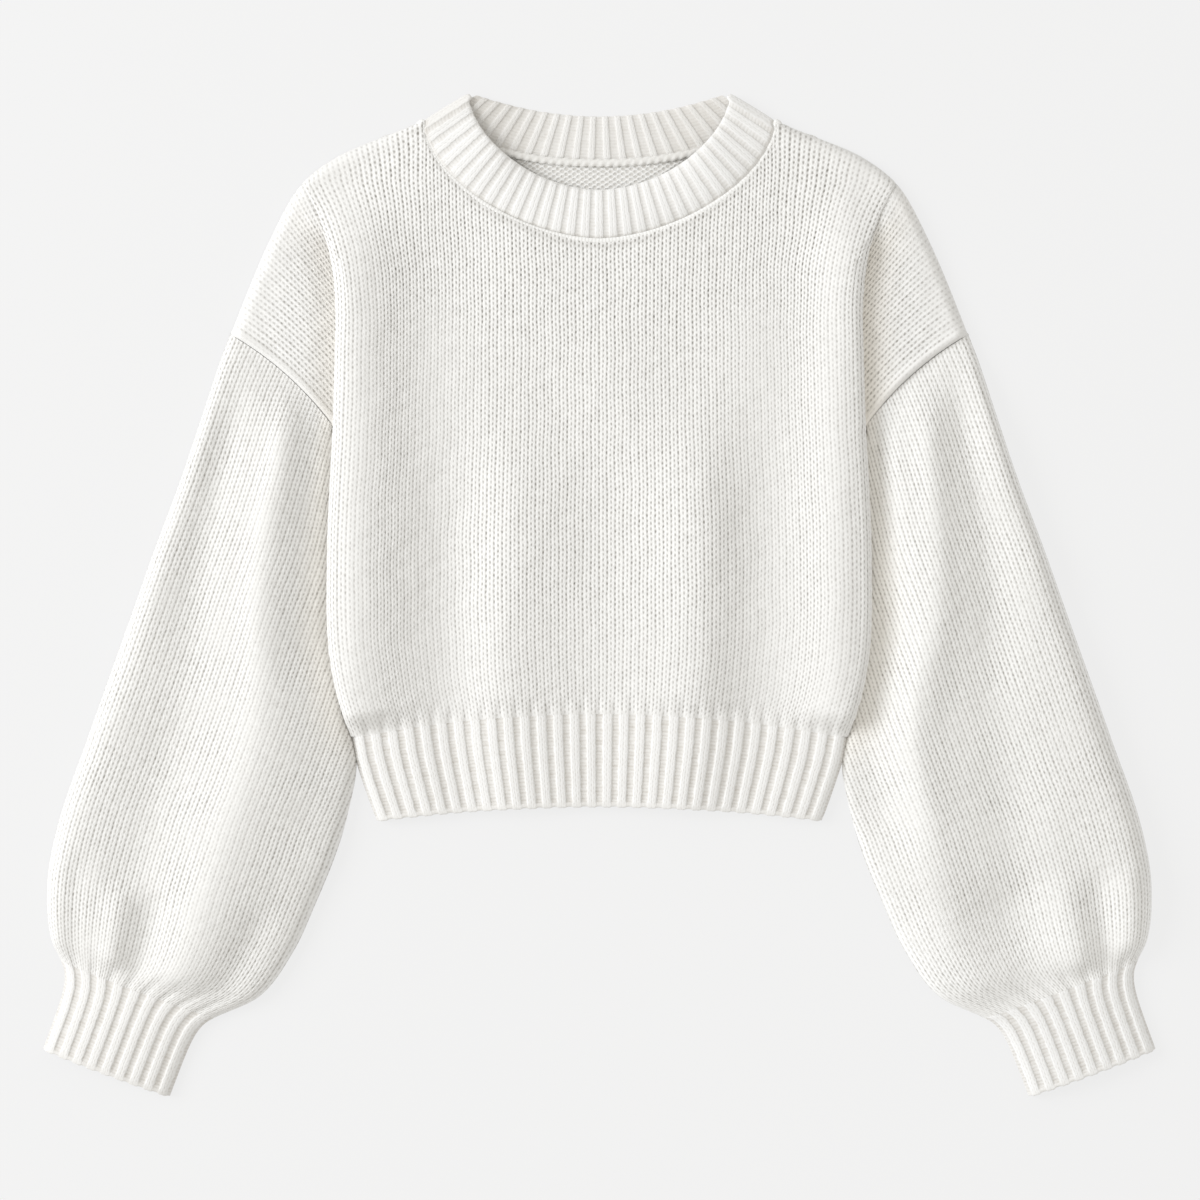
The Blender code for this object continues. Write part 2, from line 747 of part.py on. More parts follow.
def sleeve_ends(along):
    """Inner and outer edge of the sleeve's plan at a share of its length."""
    inner = Vector((sleeve_curves["inner_x"](along), sleeve_curves["inner_y"](along)))
    outer = Vector((sleeve_curves["outer_x"](along), sleeve_curves["outer_y"](along)))
    if inner.y > HEM_SEAM_Y - HEM_SEAM_DROP:
        inner.x = max(inner.x, body_side(inner.y) + SLEEVE_SIDE_GAP)
    return inner, outer


def sleeve(name, side, folds, collection):
    """Balloon sleeve, pressed flat, from the armhole to the cuff."""
    shares = [i / SLEEVE_COLUMNS for i in range(1, SLEEVE_COLUMNS)]
    outer, inner = [], []
    for along in SLEEVE_ROWS:
        start, end = sleeve_ends(along)
        if along == 0.0:
            away = (end - start).normalized()
            start += Vector((away.y, -away.x)) * SLEEVE_SEAM_GAP
            end += Vector((away.y, -away.x)) * SLEEVE_SEAM_GAP
        width = (end - start).length
        places = across_places(width, shares)
        crown = sleeve_curves["crown"](along)
        height = []
        for distance in places:
            share = distance / width
            relief = sleeve_fold_sum(folds, share, along) * smooth(crown / 8.0)
            arch = (crown + relief) * (1 - abs(2 * share - 1) ** SLEEVE_ROUNDNESS)
            low = SLEEVE_BASE * smooth(crown / 6.0)
            height.append(TUBE_HEIGHT + max(low + arch, 0.0) * (1.0 if 0 < share < 1 else 0.0))
        bow = ARMHOLE_BOW * (1 - smooth(along / 0.3))
        ring_pair = tube_rings(start, end, bow, places, height, [0.0] * len(places))
        for ring, made in zip((outer, inner), ring_pair):
            ring.append([Vector((side * p.x, p.y, p.z)) for p in made])
    return add_object(name, tube_wall(outer, inner), collection, KNIT_COLOUR)


# Neckband


def even_angles(count):
    """Angles of the front collar at equal steps along its middle line."""
    fine = [0.5 * math.pi * i / 400 for i in range(401)]
    middle = [neckline(a).lerp(collar_top(a), 0.5) for a in fine]
    keys = [0.0]
    for a, b in zip(middle, middle[1:]):
        keys.append(keys[-1] + (b - a).length)
    read = curve(keys, fine)
    return [read(keys[-1] * i / count) for i in range(count + 1)]


def band_section(seam, edge, low, arch, rib):
    """Loop round the collar's wall: over its upper face from seam to edge, and back below."""
    upper, lower = [], []
    for point in BAND_SECTION:
        place = seam.lerp(edge, point.share)
        z = low + arch * point.swell
        upper.append(Vector((place.x, place.y, z + COLLAR_WALL + rib * point.crest)))
        lower.append(Vector((place.x, place.y, z)))
    return upper + lower[::-1]


def fold_section(turn):
    """Loop where the collar turns over at the neck point, at a turn from the top (0) down (1)."""
    reach = NECK_POINT - COLLAR_TOP_POINT
    outward = Vector((-reach.y, reach.x)).normalized()
    if outward.y < 0:
        outward = -outward
    angle = math.pi * (0.5 - turn)
    upper, lower = [], []
    for share in FOLD_SHARES:
        axis = NECK_POINT.lerp(COLLAR_TOP_POINT, share) - outward * COLLAR_FOLD_RADIUS
        for line, radius in ((upper, COLLAR_FOLD_RADIUS), (lower, COLLAR_FOLD_RADIUS - COLLAR_WALL)):
            place = axis + outward * radius * math.cos(angle)
            line.append(Vector((place.x, place.y, COLLAR_FOLD_RADIUS + radius * math.sin(angle))))
    return upper + lower[::-1]


def back_section(share, rib):
    """Loop round the back collar, flat on the surface with its inside up; share 0 is the centre."""
    x_seam, x_edge = NECK_POINT.x * share, COLLAR_TOP_POINT.x * share
    seam = Vector((x_seam, back_neckline(x_seam)))
    edge = Vector((x_edge, back_collar_top(x_edge)))
    loop = band_section(seam, edge, 0.0, 0.0, rib)
    half = len(BAND_SECTION)
    return loop[half:][::-1] + loop[:half][::-1]


def neckband(collection):
    """Ribbed collar: its front arc lies over the front, and it turns over at both neck points."""
    sections = []
    front_steps = 3 * FRONT_COLLAR_RIBS // 2
    high = 2 * COLLAR_FOLD_RADIUS - COLLAR_WALL
    for i, angle in enumerate(even_angles(front_steps)):
        share = i / front_steps
        if share > FRONT_COLLAR_END:
            break
        low = COLLAR_LOW + (high - COLLAR_LOW) * ramp(share, COLLAR_LIFT)
        rib = 0.0 if i % 3 == 0 else COLLAR_RIB * (1 - ramp(share, FRONT_RIB_FADE))
        arch = COLLAR_ARCH * (1 - ramp(share, COLLAR_ARCH_FADE))
        sections.append(band_section(neckline(angle), collar_top(angle), low, arch, rib))
    sections += [fold_section(turn) for turn in (0.0, 0.25, 0.5, 0.75, 1.0)]
    back_steps = 3 * BACK_COLLAR_RIBS // 2
    for i in range(back_steps + 1):
        share = 1 - i / back_steps
        if share > BACK_COLLAR_END:
            continue
        rib = 0.0 if i % 3 == 0 else COLLAR_RIB * (1 - ramp(share, BACK_RIB_FADE))
        sections.append(back_section(share, rib))
    left = [[Vector((-p.x, p.y, p.z)) for p in loop] for loop in sections[-2:0:-1]]
    return add_object("neckband", loop_wall(sections + left), collection, RIB_COLOUR)


def main():
    for old in list(bpy.data.objects):
        bpy.data.objects.remove(old, do_unlink=True)
    collection = bpy.data.collections.new("cropped_knit_sweater")
    bpy.context.scene.collection.children.link(collection)
    front_panel(collection)
    back_panel(collection)
    hem(collection)
    neckband(collection)
    sleeve("sleeve_right", -1, RIGHT_SLEEVE_FOLDS, collection)
    sleeve("sleeve_left", 1, LEFT_SLEEVE_FOLDS, collection)
    cuff("cuff_right", -1, collection)
    cuff("cuff_left", 1, collection)


main()
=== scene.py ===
import math
from functools import partial, partialmethod

import bpy
import numpy as np
from numpy.linalg import norm
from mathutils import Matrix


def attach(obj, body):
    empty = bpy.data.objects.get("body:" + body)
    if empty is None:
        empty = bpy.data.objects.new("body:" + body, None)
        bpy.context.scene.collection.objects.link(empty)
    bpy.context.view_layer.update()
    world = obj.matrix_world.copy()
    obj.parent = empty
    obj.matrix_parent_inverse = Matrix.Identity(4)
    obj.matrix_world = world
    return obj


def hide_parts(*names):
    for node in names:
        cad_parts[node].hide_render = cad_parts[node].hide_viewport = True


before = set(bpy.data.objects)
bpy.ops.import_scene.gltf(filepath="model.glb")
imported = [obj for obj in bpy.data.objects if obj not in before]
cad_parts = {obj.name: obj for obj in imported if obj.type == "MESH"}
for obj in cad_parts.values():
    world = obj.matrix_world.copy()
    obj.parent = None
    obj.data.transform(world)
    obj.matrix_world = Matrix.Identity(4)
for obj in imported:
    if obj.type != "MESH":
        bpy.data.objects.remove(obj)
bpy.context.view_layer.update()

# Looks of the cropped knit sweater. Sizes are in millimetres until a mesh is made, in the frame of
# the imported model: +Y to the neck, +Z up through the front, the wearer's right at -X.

METRES = 0.001
SIDES = {"right": -1, "left": 1}

# Stitches
STITCH_MAP = "Stitches"
LOOKS = ("open_gaps", "tone", "shade_warmth")
WALE = 5.7
COURSE = 3.65
COLUMNS = 4
ROWS = 3
RELIEF = 0.9
VARIETY = 0.18
SWELL_WAVES = 7
SLANT = 1.5
GAP_PIT = 0.53
GAP_LEAN = 0.15
GAP_SHARPNESS = 3
PLY_DEPTH = 0.16
# Painted shade where the gaps between the stitches are closed
MEAN_GAP_SHADE = 0.27
PURL_BARS = 1.45
PURL_WAVE = 0.22
SLEEVE_GAP_PIT = 0.38
GREEN_SHARE = 0.4

# Body
HEM_SEAM_Y = -83
HEM_SEAM_DROP = 16.4
BODY_CORNER_X = 173.6
ARMPIT = np.array((185.5, 117))
SLEEVE_TIP = np.array((258.4, 182.3))
ARMHOLE_BOW = 5.3
ARMHOLE_REACH = 0.3
BODY_WALES = 35
NECK_WALES = 22.5
CORE_TOP = 205
FOLD_WHOLE = 222
FOLD_GONE = 264
LEVEL_COURSES = 62
TOP_DRIFT = 42
ROLL_INSIDE = 1.2
ROLL_OUTSIDE = 3.3
ROLL_RADIUS = 8
ROLL_TURN = 150
ROLL_TURN_OVER_CAP = 180
CAP_WALES = 16
CAP_ANGLE = 26
CAP_FAN = 22.1
CAP_TUCK = 8
CAP_WELT = 1.6
CAP_LAP = ((9, 0, 2.2), (4, 0, 1))
HEM_BLEND = 17
HEM_SWELL = 0.62
NECK_JOIN = 8.8
NECK_ROUND = 4.5
SHOULDER_ROUND = 9
SHOULDER_RIM = 1
EDGE_LEVEL = 3.3
BODY_BASE = 10.5
CAP_BASE = 11
CAP_DIP = {-1: 3.5, 1: 1.5}
CAP_EDGE = 7.4
ROLL_END = 3.6
ROLL_END_OVER_CAP = 6.9

# Neck
NECK_POINT = np.array((123.2, 331.8))
NECK_DEPTH = 83.3
NECK_POWER = 1.735
COLLAR_TOP_POINT = np.array((91.3, 351.2))
COLLAR_TOP_DEPTH = 67.7
COLLAR_TOP_POWER = 1.8
BACK_NECK_Y = 303.1
BACK_NECK_POWER = 2.2
BACK_COLLAR_Y = 335.3
BACK_COLLAR_POWER = 1.9
COLLAR_WALL = 3.2
COLLAR_ARCH = 2.4
BACK_COLLAR_RISE = 4
COLLAR_STAND = 4.5
COLLAR_LOW = 4.4
COLLAR_FRONT_END = 0.955
COLLAR_BACK_START = 0.94
FOLD_RADIUS = 5.2
COLLAR_RELIEF = 0.88
NECK_EDGE_OUT = 1
EDGE_TURN = 2.4
# Painted shade beside the neck's seam, and inside the neck in its middle and at its ends
JOIN_SHADE = 0.12
INSIDE_PAINTED_SHADE = 0.955
INSIDE_END_PAINTED_SHADE = 0.875
NECK_TURN = 2.4
FRONT_COLLAR_RIBS = 31
BACK_COLLAR_RIBS = 22
INSIDE_NARROWING = 0.35
BACK_WALES = 12
BACK_FINE_Y = 262
BACK_LEVEL = 2.6
CHAIN_END_X = 116
CHAIN_DROP = 0.6
CHAIN_LEVEL = 4.2

# Hem, sleeves and cuffs
HEM_END_Y = -148.4
HEM_END_DROP = 10
HEM_END_X = 155.7
HEM_RIBS = 30
HEM_CROWN = 2.4
HEM_ROUNDNESS = 6
TUBE_HEIGHT = 6.6
SLEEVE_BASE = 3.6
SUNK_DEPTH = 0.92
UNDER_LEVEL = 0.35
UNDER_ROUND = 3.4
BESIDE_LEVEL = {-1: 10.5, 1: 6.8}
TUCK = 0.5
CORNER_TUCK = 1.6
CORNER_Y = -92
SEAM_RISE = 1.6
CUFF_BLEND = 0.07
SLEEVE_WALES = 34
SLEEVE_FULL = 0.74
CUFF_START = np.array((323.2, -275.7))
CUFF_ANGLE = math.radians(20.5)
CUFF_LENGTH = 62.6
CUFF_HALF_WIDTH = 47.4
CUFF_FLARE = 9.8
CUFF_FLARE_REACH = 9
CUFF_RIBS = 9
CUFF_CROWN = 6
CUFF_ROUNDNESS = 2.2
RIB_HEIGHT = 1.45
BAND_LAP = 1.5
BAND_ROUND = 7
BAND_MEAN = 0.75
BAND_EDGE = 1.5
BAND_MERGE = 3.5
BAND_RETURN = 9
BAND_NOTCH = 0.9

# Half width of the body by level, from the hem up to the end of the fold over the shoulder
BODY_SIDE = (
    (-99.4, 173.6), (-65, 183.8), (-31.5, 189), (24.5, 189.7), (66.5, 188.3), (117, 185.5),
    (168, 184), (205, 183.6), (238, 187.6), (263, 196), (287.6, 208),
)
# Top of the shoulder, (x, y) from the neck point to the sleeve tip
SHOULDER_LINE = (
    (123.2, 331.8), (148, 322.3), (181.3, 308.4), (202.6, 293.8), (214.5, 280),
    (229.3, 252), (241.6, 224.5), (258.4, 182.3),
)
BODY_SHOULDER = 96.7
# Share of the half width and how wide a wale is there
WALE_WIDTHS = (
    (0, 1.05), (0.22, 1.03), (0.32, 1.06), (0.44, 1.02), (0.54, 0.98), (0.65, 0.93), (0.74, 0.87),
    (0.82, 0.82), (0.89, 0.94), (0.94, 1.1), (1, 1.12),
)
HEM_SIDE = ((0, 173.6), (0.3, 169.9), (0.65, 163.2), (1, 155.7))
# Share of the length, inner (x, y), outer (x, y) and crown
SLEEVE_STATIONS = (
    (0, 185.5, 117, 258.4, 182.3, 0.4), (0.05, 186.7, 97, 265.8, 163, 4),
    (0.13, 188.6, 62, 277, 129, 8), (0.24, 190.1, 18, 293.5, 80, 10),
    (0.36, 189, -34, 311.8, 31, 10.5), (0.48, 177.5, -88, 329.8, -20, 11),
    (0.57, 170.6, -118, 345.5, -64, 11.5), (0.65, 174.5, -146, 360, -105, 12),
    (0.74, 184, -180, 376, -150, 12), (0.82, 199.5, -218, 385, -188, 12),
    (0.89, 214.5, -250, 386.6, -217, 11), (0.95, 237, -280, 383.8, -240, 8),
    (1.00, 269.6, -295.7, 376.8, -255.65, 3),
)
# (x, y) low and high ends, length of the fade at the high end, height, and half widths toward the
# wearer's right and left of the body's folds
BODY_FOLDS = (
    (-169, 130, -179, 262, 60, 14, 28, 37),
    (169, 130, 177, 262, 60, 13.5, 25, 28),
    (-102, -110, -104, 95, 150, -3.5, 24, 24),
    (116, -110, 113, 110, 150, -3, 24, 24),
    (-68, -110, -58, 90, 150, 6.5, 24, 30),
    (66, -110, 70, 100, 150, 9, 34, 24),
    (-2, -110, 0, 80, 150, -2.2, 22, 24),
)
# Across shares near the armhole, half way and near the cuff, along shares of both ends, height, and
# half widths toward the inner and the outer edge of the sleeves' folds
SLEEVE_FOLDS = {
    -1: (
        (0.4, 0.37, 0.37, 0.02, 1.04, 8.2, 0.16, 0.12), (0.78, 0.71, 0.66, 0.1, 0.88, -5.2, 0.12, 0.12),
        (0.97, 0.95, 0.94, 0.12, 0.92, 2.5, 0.09, 0.09), (0.1, 0.08, 0.14, 0.1, 0.9, -1.5, 0.09, 0.09),
        (0.7, 0.7, 0.7, 0.84, 1.06, 5, 0.06, 0.06), (0.56, 0.56, 0.56, 0.84, 1.06, -3.5, 0.06, 0.06),
        (0.88, 0.88, 0.88, 0.8, 1.06, -2.5, 0.05, 0.05), (0.16, 0.16, 0.17, 0.84, 1.06, -3, 0.07, 0.07),
    ),
    1: (
        (0.5, 0.33, 0.18, 0.02, 0.94, 6.3, 0.12, 0.12), (0.78, 0.66, 0.5, 0.04, 0.9, -4.2, 0.11, 0.11),
        (0.97, 0.96, 0.95, 0.1, 0.9, 3.5, 0.14, 0.08), (0.42, 0.42, 0.43, 0.82, 1.06, -3, 0.1, 0.1),
        (0.67, 0.67, 0.66, 0.82, 1.06, 4.5, 0.09, 0.06), (0.79, 0.79, 0.79, 0.82, 1.06, -3.5, 0.05, 0.05),
        (0.92, 0.92, 0.91, 0.82, 1.06, 3.5, 0.06, 0.06),
    ),
}
# Painted light and shade of the caps and the sleeves: how light or deep it is on each side, how much it
# changes where they lie beside the body, and the painted warm shade there
CAP_PAINTED_SHADING = {-1: (1.03, -0.04, 0.06), 1: (1.02, 0.1, 0.1)}
SLEEVE_PAINTED_SHADING = {-1: (0.99, 0.05, 0.055), 1: (1.02, 0.07, 0.07)}
# Painted light toward the cuff end of the left sleeve, and painted shade on the right cuff and painted
# light on the left one
SLEEVE_END_PAINTED_LIGHT = {-1: 0, 1: 0.06}
CUFF_PAINTED_SHADING = {-1: 0.985, 1: 1.04}
# Across one rib, from valley to valley: share of the pitch and height
RIB_PROFILE = (
    (0, 0), (0.1, 0.03), (0.18, 0.25), (0.25, 0.78), (0.34, 1),
    (0.5, 0.82), (0.66, 1), (0.75, 0.78), (0.82, 0.25), (0.9, 0.03), (1, 0),
)
RIB_SHARES, RIB_HEIGHTS = np.array(RIB_PROFILE).T


# Shapes of lines and numbers


def clamp(value):
    return np.clip(value, 0, 1)


def smooth(value):
    t = clamp(value)
    return t * t * (3 - 2 * t)


def ramp(value, zero, one):
    """Smooth step: 0 where the value is at zero or short of it, 1 at one or beyond it."""
    return smooth((value - zero) / (one - zero))


def blend(zero, one, share):
    return zero + (one - zero) * share


def bump(distance, half_width):
    return np.exp(-((distance / half_width) ** 2))


def rounded(distance, radius):
    t = 1 - clamp(distance / radius)
    return np.sqrt(1 - t * t)


def curve(keys, values):
    """A smooth function through the values, which may be numbers or arrays, flat beyond the ends."""
    keys, values = np.asarray(keys, float), np.asarray(values, float)
    low = np.maximum(np.arange(len(keys)) - 1, 0)
    high = np.minimum(np.arange(len(keys)) + 1, len(keys) - 1)
    spread = (slice(None),) + (None,) * (values.ndim - 1)
    slopes = (values[high] - values[low]) / (keys[high] - keys[low])[spread]

    def read(at):
        at = np.clip(np.asarray(at, float), keys[0], keys[-1])
        i = np.clip(np.searchsorted(keys, at) - 1, 0, len(keys) - 2)
        run = keys[i + 1] - keys[i]
        t = (at - keys[i]) / run
        wide = t.shape + (1,) * (values.ndim - 1)
        run, t = run.reshape(wide), t.reshape(wide)
        start = values[i] * (1 - t) ** 2 * (1 + 2 * t) + slopes[i] * run * t * (1 - t) ** 2
        return start + values[i + 1] * t * t * (3 - 2 * t) - slopes[i + 1] * run * t * t * (1 - t)

    return read


def table_curve(table, columns=1):
    """The curve of one column of a table, or of a slice of them, over its first."""
    return curve([row[0] for row in table], [row[columns] for row in table])


def lengths(points):
    """Running length along a list of points."""
    return np.append(0, np.cumsum(norm(np.diff(points, axis=0), axis=1)))


def unit(vectors):
    return vectors / norm(vectors, axis=-1, keepdims=True)


def quarter_turn(vectors):
    """Vectors in the plane turned by a quarter, +X to +Y."""
    return np.stack((-vectors[..., 1], vectors[..., 0]), -1)


def at_level(place, level):
    """Points over places in the plane."""
    return np.concatenate((place, level[..., None]), -1)


def uneven(x, y, size, seed):
    """Soft random swell, mostly between -1 and 1, in lumps of about that size."""
    random = np.random.default_rng(seed)
    total = 0
    for _ in range(SWELL_WAVES):
        angle, phase = random.uniform(0, 2 * math.pi, 2)
        rate = 2 * math.pi / size * random.uniform(0.55, 1.5)
        total = total + np.sin(rate * (x * math.cos(angle) + y * math.sin(angle)) + phase)
    return total / SWELL_WAVES**0.5


body_side = table_curve(BODY_SIDE)
hem_side = table_curve(HEM_SIDE)
shoulder_keys = lengths(SHOULDER_LINE)
shoulder = curve(shoulder_keys, SHOULDER_LINE)
sleeve_inner = table_curve(SLEEVE_STATIONS, slice(1, 3))
sleeve_outer = table_curve(SLEEVE_STATIONS, slice(3, 5))
sleeve_crown = table_curve(SLEEVE_STATIONS, 5)

wale_keys = np.linspace(0, 1, 401)
wale_widths = table_curve(WALE_WIDTHS)(wale_keys)
wale_sums = np.append(0, np.cumsum(0.5 * (wale_widths[1:] + wale_widths[:-1])))
wale_sums /= wale_sums[-1]


def wale_share(share):
    """Share of the half width at a share of its wales."""
    return np.interp(share, wale_keys, wale_sums)


def neckline_y(x):
    rest = clamp(1 - (np.abs(x) / NECK_POINT[0]) ** NECK_POWER)
    return NECK_POINT[1] - NECK_DEPTH * rest ** (1 / NECK_POWER)


def neck_curve(angle, corner, depth, power):
    """Points of the neck's front, from the centre at 0 to the corner at a right angle."""
    x = corner[0] * np.sin(angle) ** (2 / power)
    y = corner[1] - depth * clamp(np.cos(angle)) ** (2 / power)
    return np.stack((x, y), -1)


def neckline(angle):
    return neck_curve(angle, NECK_POINT, NECK_DEPTH, NECK_POWER)


def collar_top(angle):
    return neck_curve(angle, COLLAR_TOP_POINT, COLLAR_TOP_DEPTH, COLLAR_TOP_POWER)


def back_curve(x, corner, middle_y, power):
    """Level of the neck's back, from its middle up to the corner."""
    return blend(middle_y, corner[1], clamp(np.abs(x) / corner[0]) ** power)


def back_neckline(x):
    return back_curve(x, NECK_POINT, BACK_NECK_Y, BACK_NECK_POWER)


def back_collar_top(x):
    return back_curve(x, COLLAR_TOP_POINT, BACK_COLLAR_Y, BACK_COLLAR_POWER)


def hem_seam(x):
    return HEM_SEAM_Y - HEM_SEAM_DROP * (x / BODY_CORNER_X) ** 2


def hem_end(x):
    return HEM_END_Y - HEM_END_DROP * (x / HEM_END_X) ** 2


def armhole_bow(share):
    """How far the armhole's seam bows up from its straight line, at shares of its length."""
    return 4 * ARMHOLE_BOW * share * (1 - share)


def fold_sum(x, y):
    total = 0
    for x_low, y_low, x_high, y_high, fading, height, to_right, to_left in BODY_FOLDS:
        middle = blend(x_low, x_high, clamp((y - y_low) / (y_high - y_low)))
        fade = smooth((y_high - y) / fading + 0.5)
        total = total + height * fade * bump(x - middle, np.where(x < middle, to_right, to_left))
    return total


def sleeve_fold_sum(side, across, along):
    total = 0
    for near, half_way, far, start, end, height, inward, outward in SLEEVE_FOLDS[side]:
        middle = curve((0.1, 0.45, 0.85), (near, half_way, far))(along)
        t = (along - start) / (end - start)
        fade = smooth(t * 4 + 0.5) * smooth((1 - t) * 5 + 0.5)
        total = total + height * fade * bump(across - middle, np.where(across < middle, inward, outward))
    return total


# Stitch relief


def stitch_height(u, v, gap_pit=GAP_PIT):
    """Height of stocking stitch, 0 in its gaps and 1 on the yarn: one V to a unit of u and of v."""
    gap = 0.5 + 0.5 * np.cos(4 * math.pi * u)
    turn = np.cos(2 * math.pi * u)
    pit = 1 + turn * (GAP_LEAN + gap_pit * np.cos(2 * math.pi * v))
    slope = SLANT * np.abs(2 * (u % 1) - 1)
    ply = np.cos(2 * math.pi * (v - slope))
    return 1 - gap * pit / (1 + GAP_LEAN + gap_pit) + 0.12 * (1 - gap) * (ply - 1)


def rib_ridge(u):
    """Height of a rib, one to a unit of u: two wales of knit stitches between valleys of purl."""
    return np.interp(u % 1, RIB_SHARES, RIB_HEIGHTS)


def rib_height(u, v):
    """The same with the stitches on it."""
    ridge = rib_ridge(u)
    off = np.abs(u % 1 - 0.5)
    legs = 0.5 + 0.5 * np.cos(2 * math.pi * (v - SLANT * np.abs((off - 0.16) / 0.16)))
    return ridge + 0.08 * ramp(ridge, 0.3, 0.7) * (legs - 0.5)


def surface_normals(points):
    """Unit normal at each point of a grid, up where the columns run to +X and the rows to +Y."""
    normals = np.cross(np.gradient(points, axis=1), np.gradient(points, axis=0))
    return normals / np.maximum(norm(normals, axis=2, keepdims=True), 1e-9)


def knitted(points, u, v, fade, seed, gap_pit=GAP_PIT):
    """A grid of points with stitches raised on it, no two of them alike."""
    height = stitch_height(u, v, gap_pit) * (1 + VARIETY * uneven(u, v, 3, seed))
    return points + surface_normals(points) * (RELIEF * (height - 0.5) * fade)[..., None]


# Meshes


def mirrored(points):
    """The same grid on the other side, its columns turned round so that it still faces up."""
    return points[:, ::-1] * (-1, 1, 1)


def patch(points, u, v, first=None, last=None, side=1, open_gaps=1, tone=1, shade_warmth=0):
    """A grid of points for make_piece(), with u across and v along its stitches.

    first and last clip each column's rows. On side -1 the grid is mirrored. open_gaps is 1 where
    the gaps between the stitches show fully and 0 where they are closed; it scales their relief
    and the shade painted in them. The next argument is painted light and shade, which lightens
    and darkens the cloth's colour, and the last is painted warm shade, which takes blue out of it.
    """
    rows, columns = points.shape[:2]
    first = np.zeros(columns, int) if first is None else np.asarray(first, int)
    last = np.full(columns, rows - 1) if last is None else np.asarray(last, int)
    values = np.stack(np.broadcast_arrays(u, v, open_gaps, tone, shade_warmth, points[..., 0])[:5], -1)
    if side < 0:
        points, values = mirrored(points), values[:, ::-1]
        first, last = first[::-1], last[::-1]
    index = np.clip(np.arange(rows)[:, None], first, last) * columns + np.arange(columns)
    return points.reshape(-1, 3), values.reshape(-1, 5), index


def add_object(name, data):
    thing = bpy.data.objects.new(name, data)
    bpy.context.scene.collection.objects.link(thing)
    return thing


def make_piece(name, patches, material, replaces=()):
    """One smooth mesh object from patches, riding on the root body."""
    quads = []
    start = 0
    for points, _, index in patches:
        corners = (index[:-1, :-1], index[:-1, 1:], index[1:, 1:], index[1:, :-1])
        quads.append(np.stack(corners, -1).reshape(-1, 4) + start)
        start += len(points)
    quads = np.vstack(quads)
    points, values = (np.vstack([one[part] for one in patches]) for part in range(2))
    # Quads that the clipping has closed on one side are triangles, and on both sides nothing
    left, right = quads[:, 0] == quads[:, 3], quads[:, 1] == quads[:, 2]
    whole = quads[~left & ~right]
    thin = np.vstack((quads[left & ~right][:, :3], quads[right & ~left][:, [0, 1, 3]]))
    used, corners = np.unique(np.append(whole, thin), return_inverse=True)
    points, values = points[used], values[used]
    sizes = np.repeat((4, 3), (len(whole), len(thin)))
    mesh = bpy.data.meshes.new(name)
    mesh.vertices.add(len(points))
    mesh.vertices.foreach_set("co", (points * METRES).astype(np.float32).ravel())
    mesh.loops.add(len(corners))
    mesh.loops.foreach_set("vertex_index", corners.astype(np.int32))
    mesh.polygons.add(len(sizes))
    mesh.polygons.foreach_set("loop_start", (np.cumsum(sizes) - sizes).astype(np.int32))
    mesh.update(calc_edges=True)
    layer = mesh.uv_layers.new(name=STITCH_MAP)
    layer.data.foreach_set("uv", values[corners, :2].astype(np.float32).ravel())
    for attribute, column in zip(LOOKS, values.T[2:]):
        layer = mesh.attributes.new(attribute, "FLOAT", "POINT")
        layer.data.foreach_set("value", np.ascontiguousarray(column, np.float32))
    mesh.validate()
    mesh.shade_smooth()
    mesh.materials.append(material)
    piece = add_object(name, mesh)
    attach(piece, "root")
    if replaces:
        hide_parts(*replaces)
    return piece


# Materials


def set_inputs(tree, node, values):
    """Link fields to a node's inputs, or set the inputs, by name or number."""
    for key, value in values.items():
        if isinstance(value, Field):
            tree.links.new(value.socket, node.inputs[key])
        else:
            node.inputs[key].default_value = value


def add_node(tree, kind, output, inputs, **settings):
    """The output of a new node as a field."""
    node = tree.nodes.new(kind)
    for name, value in settings.items():
        setattr(node, name, value)
    set_inputs(tree, node, inputs)
    return Field(tree, node.outputs[output])


class Field:
    """A value in a node tree, which takes part in sums like a number."""

    def __init__(self, tree, socket):
        self.tree = tree
        self.socket = socket

    def calculate(self, operation, *others, clamp=False):
        inputs = dict(enumerate((self,) + others))
        return add_node(self.tree, "ShaderNodeMath", 0, inputs, operation=operation, use_clamp=clamp)

    __add__ = partialmethod(calculate, "ADD")
    __sub__ = partialmethod(calculate, "SUBTRACT")
    __mul__ = partialmethod(calculate, "MULTIPLY")
    __truediv__ = partialmethod(calculate, "DIVIDE")
    __pow__ = partialmethod(calculate, "POWER")
    __abs__ = partialmethod(calculate, "ABSOLUTE")

    def sine(self):
        """Sine with a turn to each unit."""
        return (self * (2 * math.pi)).calculate("SINE")

    def cosine(self):
        """Cosine with a turn to each unit."""
        return (self * (2 * math.pi)).calculate("COSINE")

    def noise(self, scale, detail):
        """Noise over a field of places."""
        inputs = {"Vector": self, "Scale": scale, "Detail": detail}
        return add_node(self.tree, "ShaderNodeTexNoise", "Fac", inputs)


def new_material(name):
    material = bpy.data.materials.new(name)
    material.use_nodes = True
    return material


def knit_depth(u, v, gap_pit=GAP_PIT):
    """Depth of stocking stitch, 0 on its slanted legs and 1 in the deepest gaps, as stitch_height()."""
    turn = u.cosine()
    gap = abs(turn) ** GAP_SHARPNESS
    pit = (turn * (v.cosine() * gap_pit + GAP_LEAN) + 1) / (1 + GAP_LEAN + gap_pit)
    slope = abs(u.calculate("FRACT") * 2 - 1)
    ply = abs(((v - slope * SLANT) * 0.5).sine()) ** 3 * PLY_DEPTH
    return (gap * pit).calculate("MAXIMUM", ply)


# The same in cloth that is drawn lengthwise, where the gaps run together into lines
drawn_depth = partial(knit_depth, gap_pit=SLEEVE_GAP_PIT)


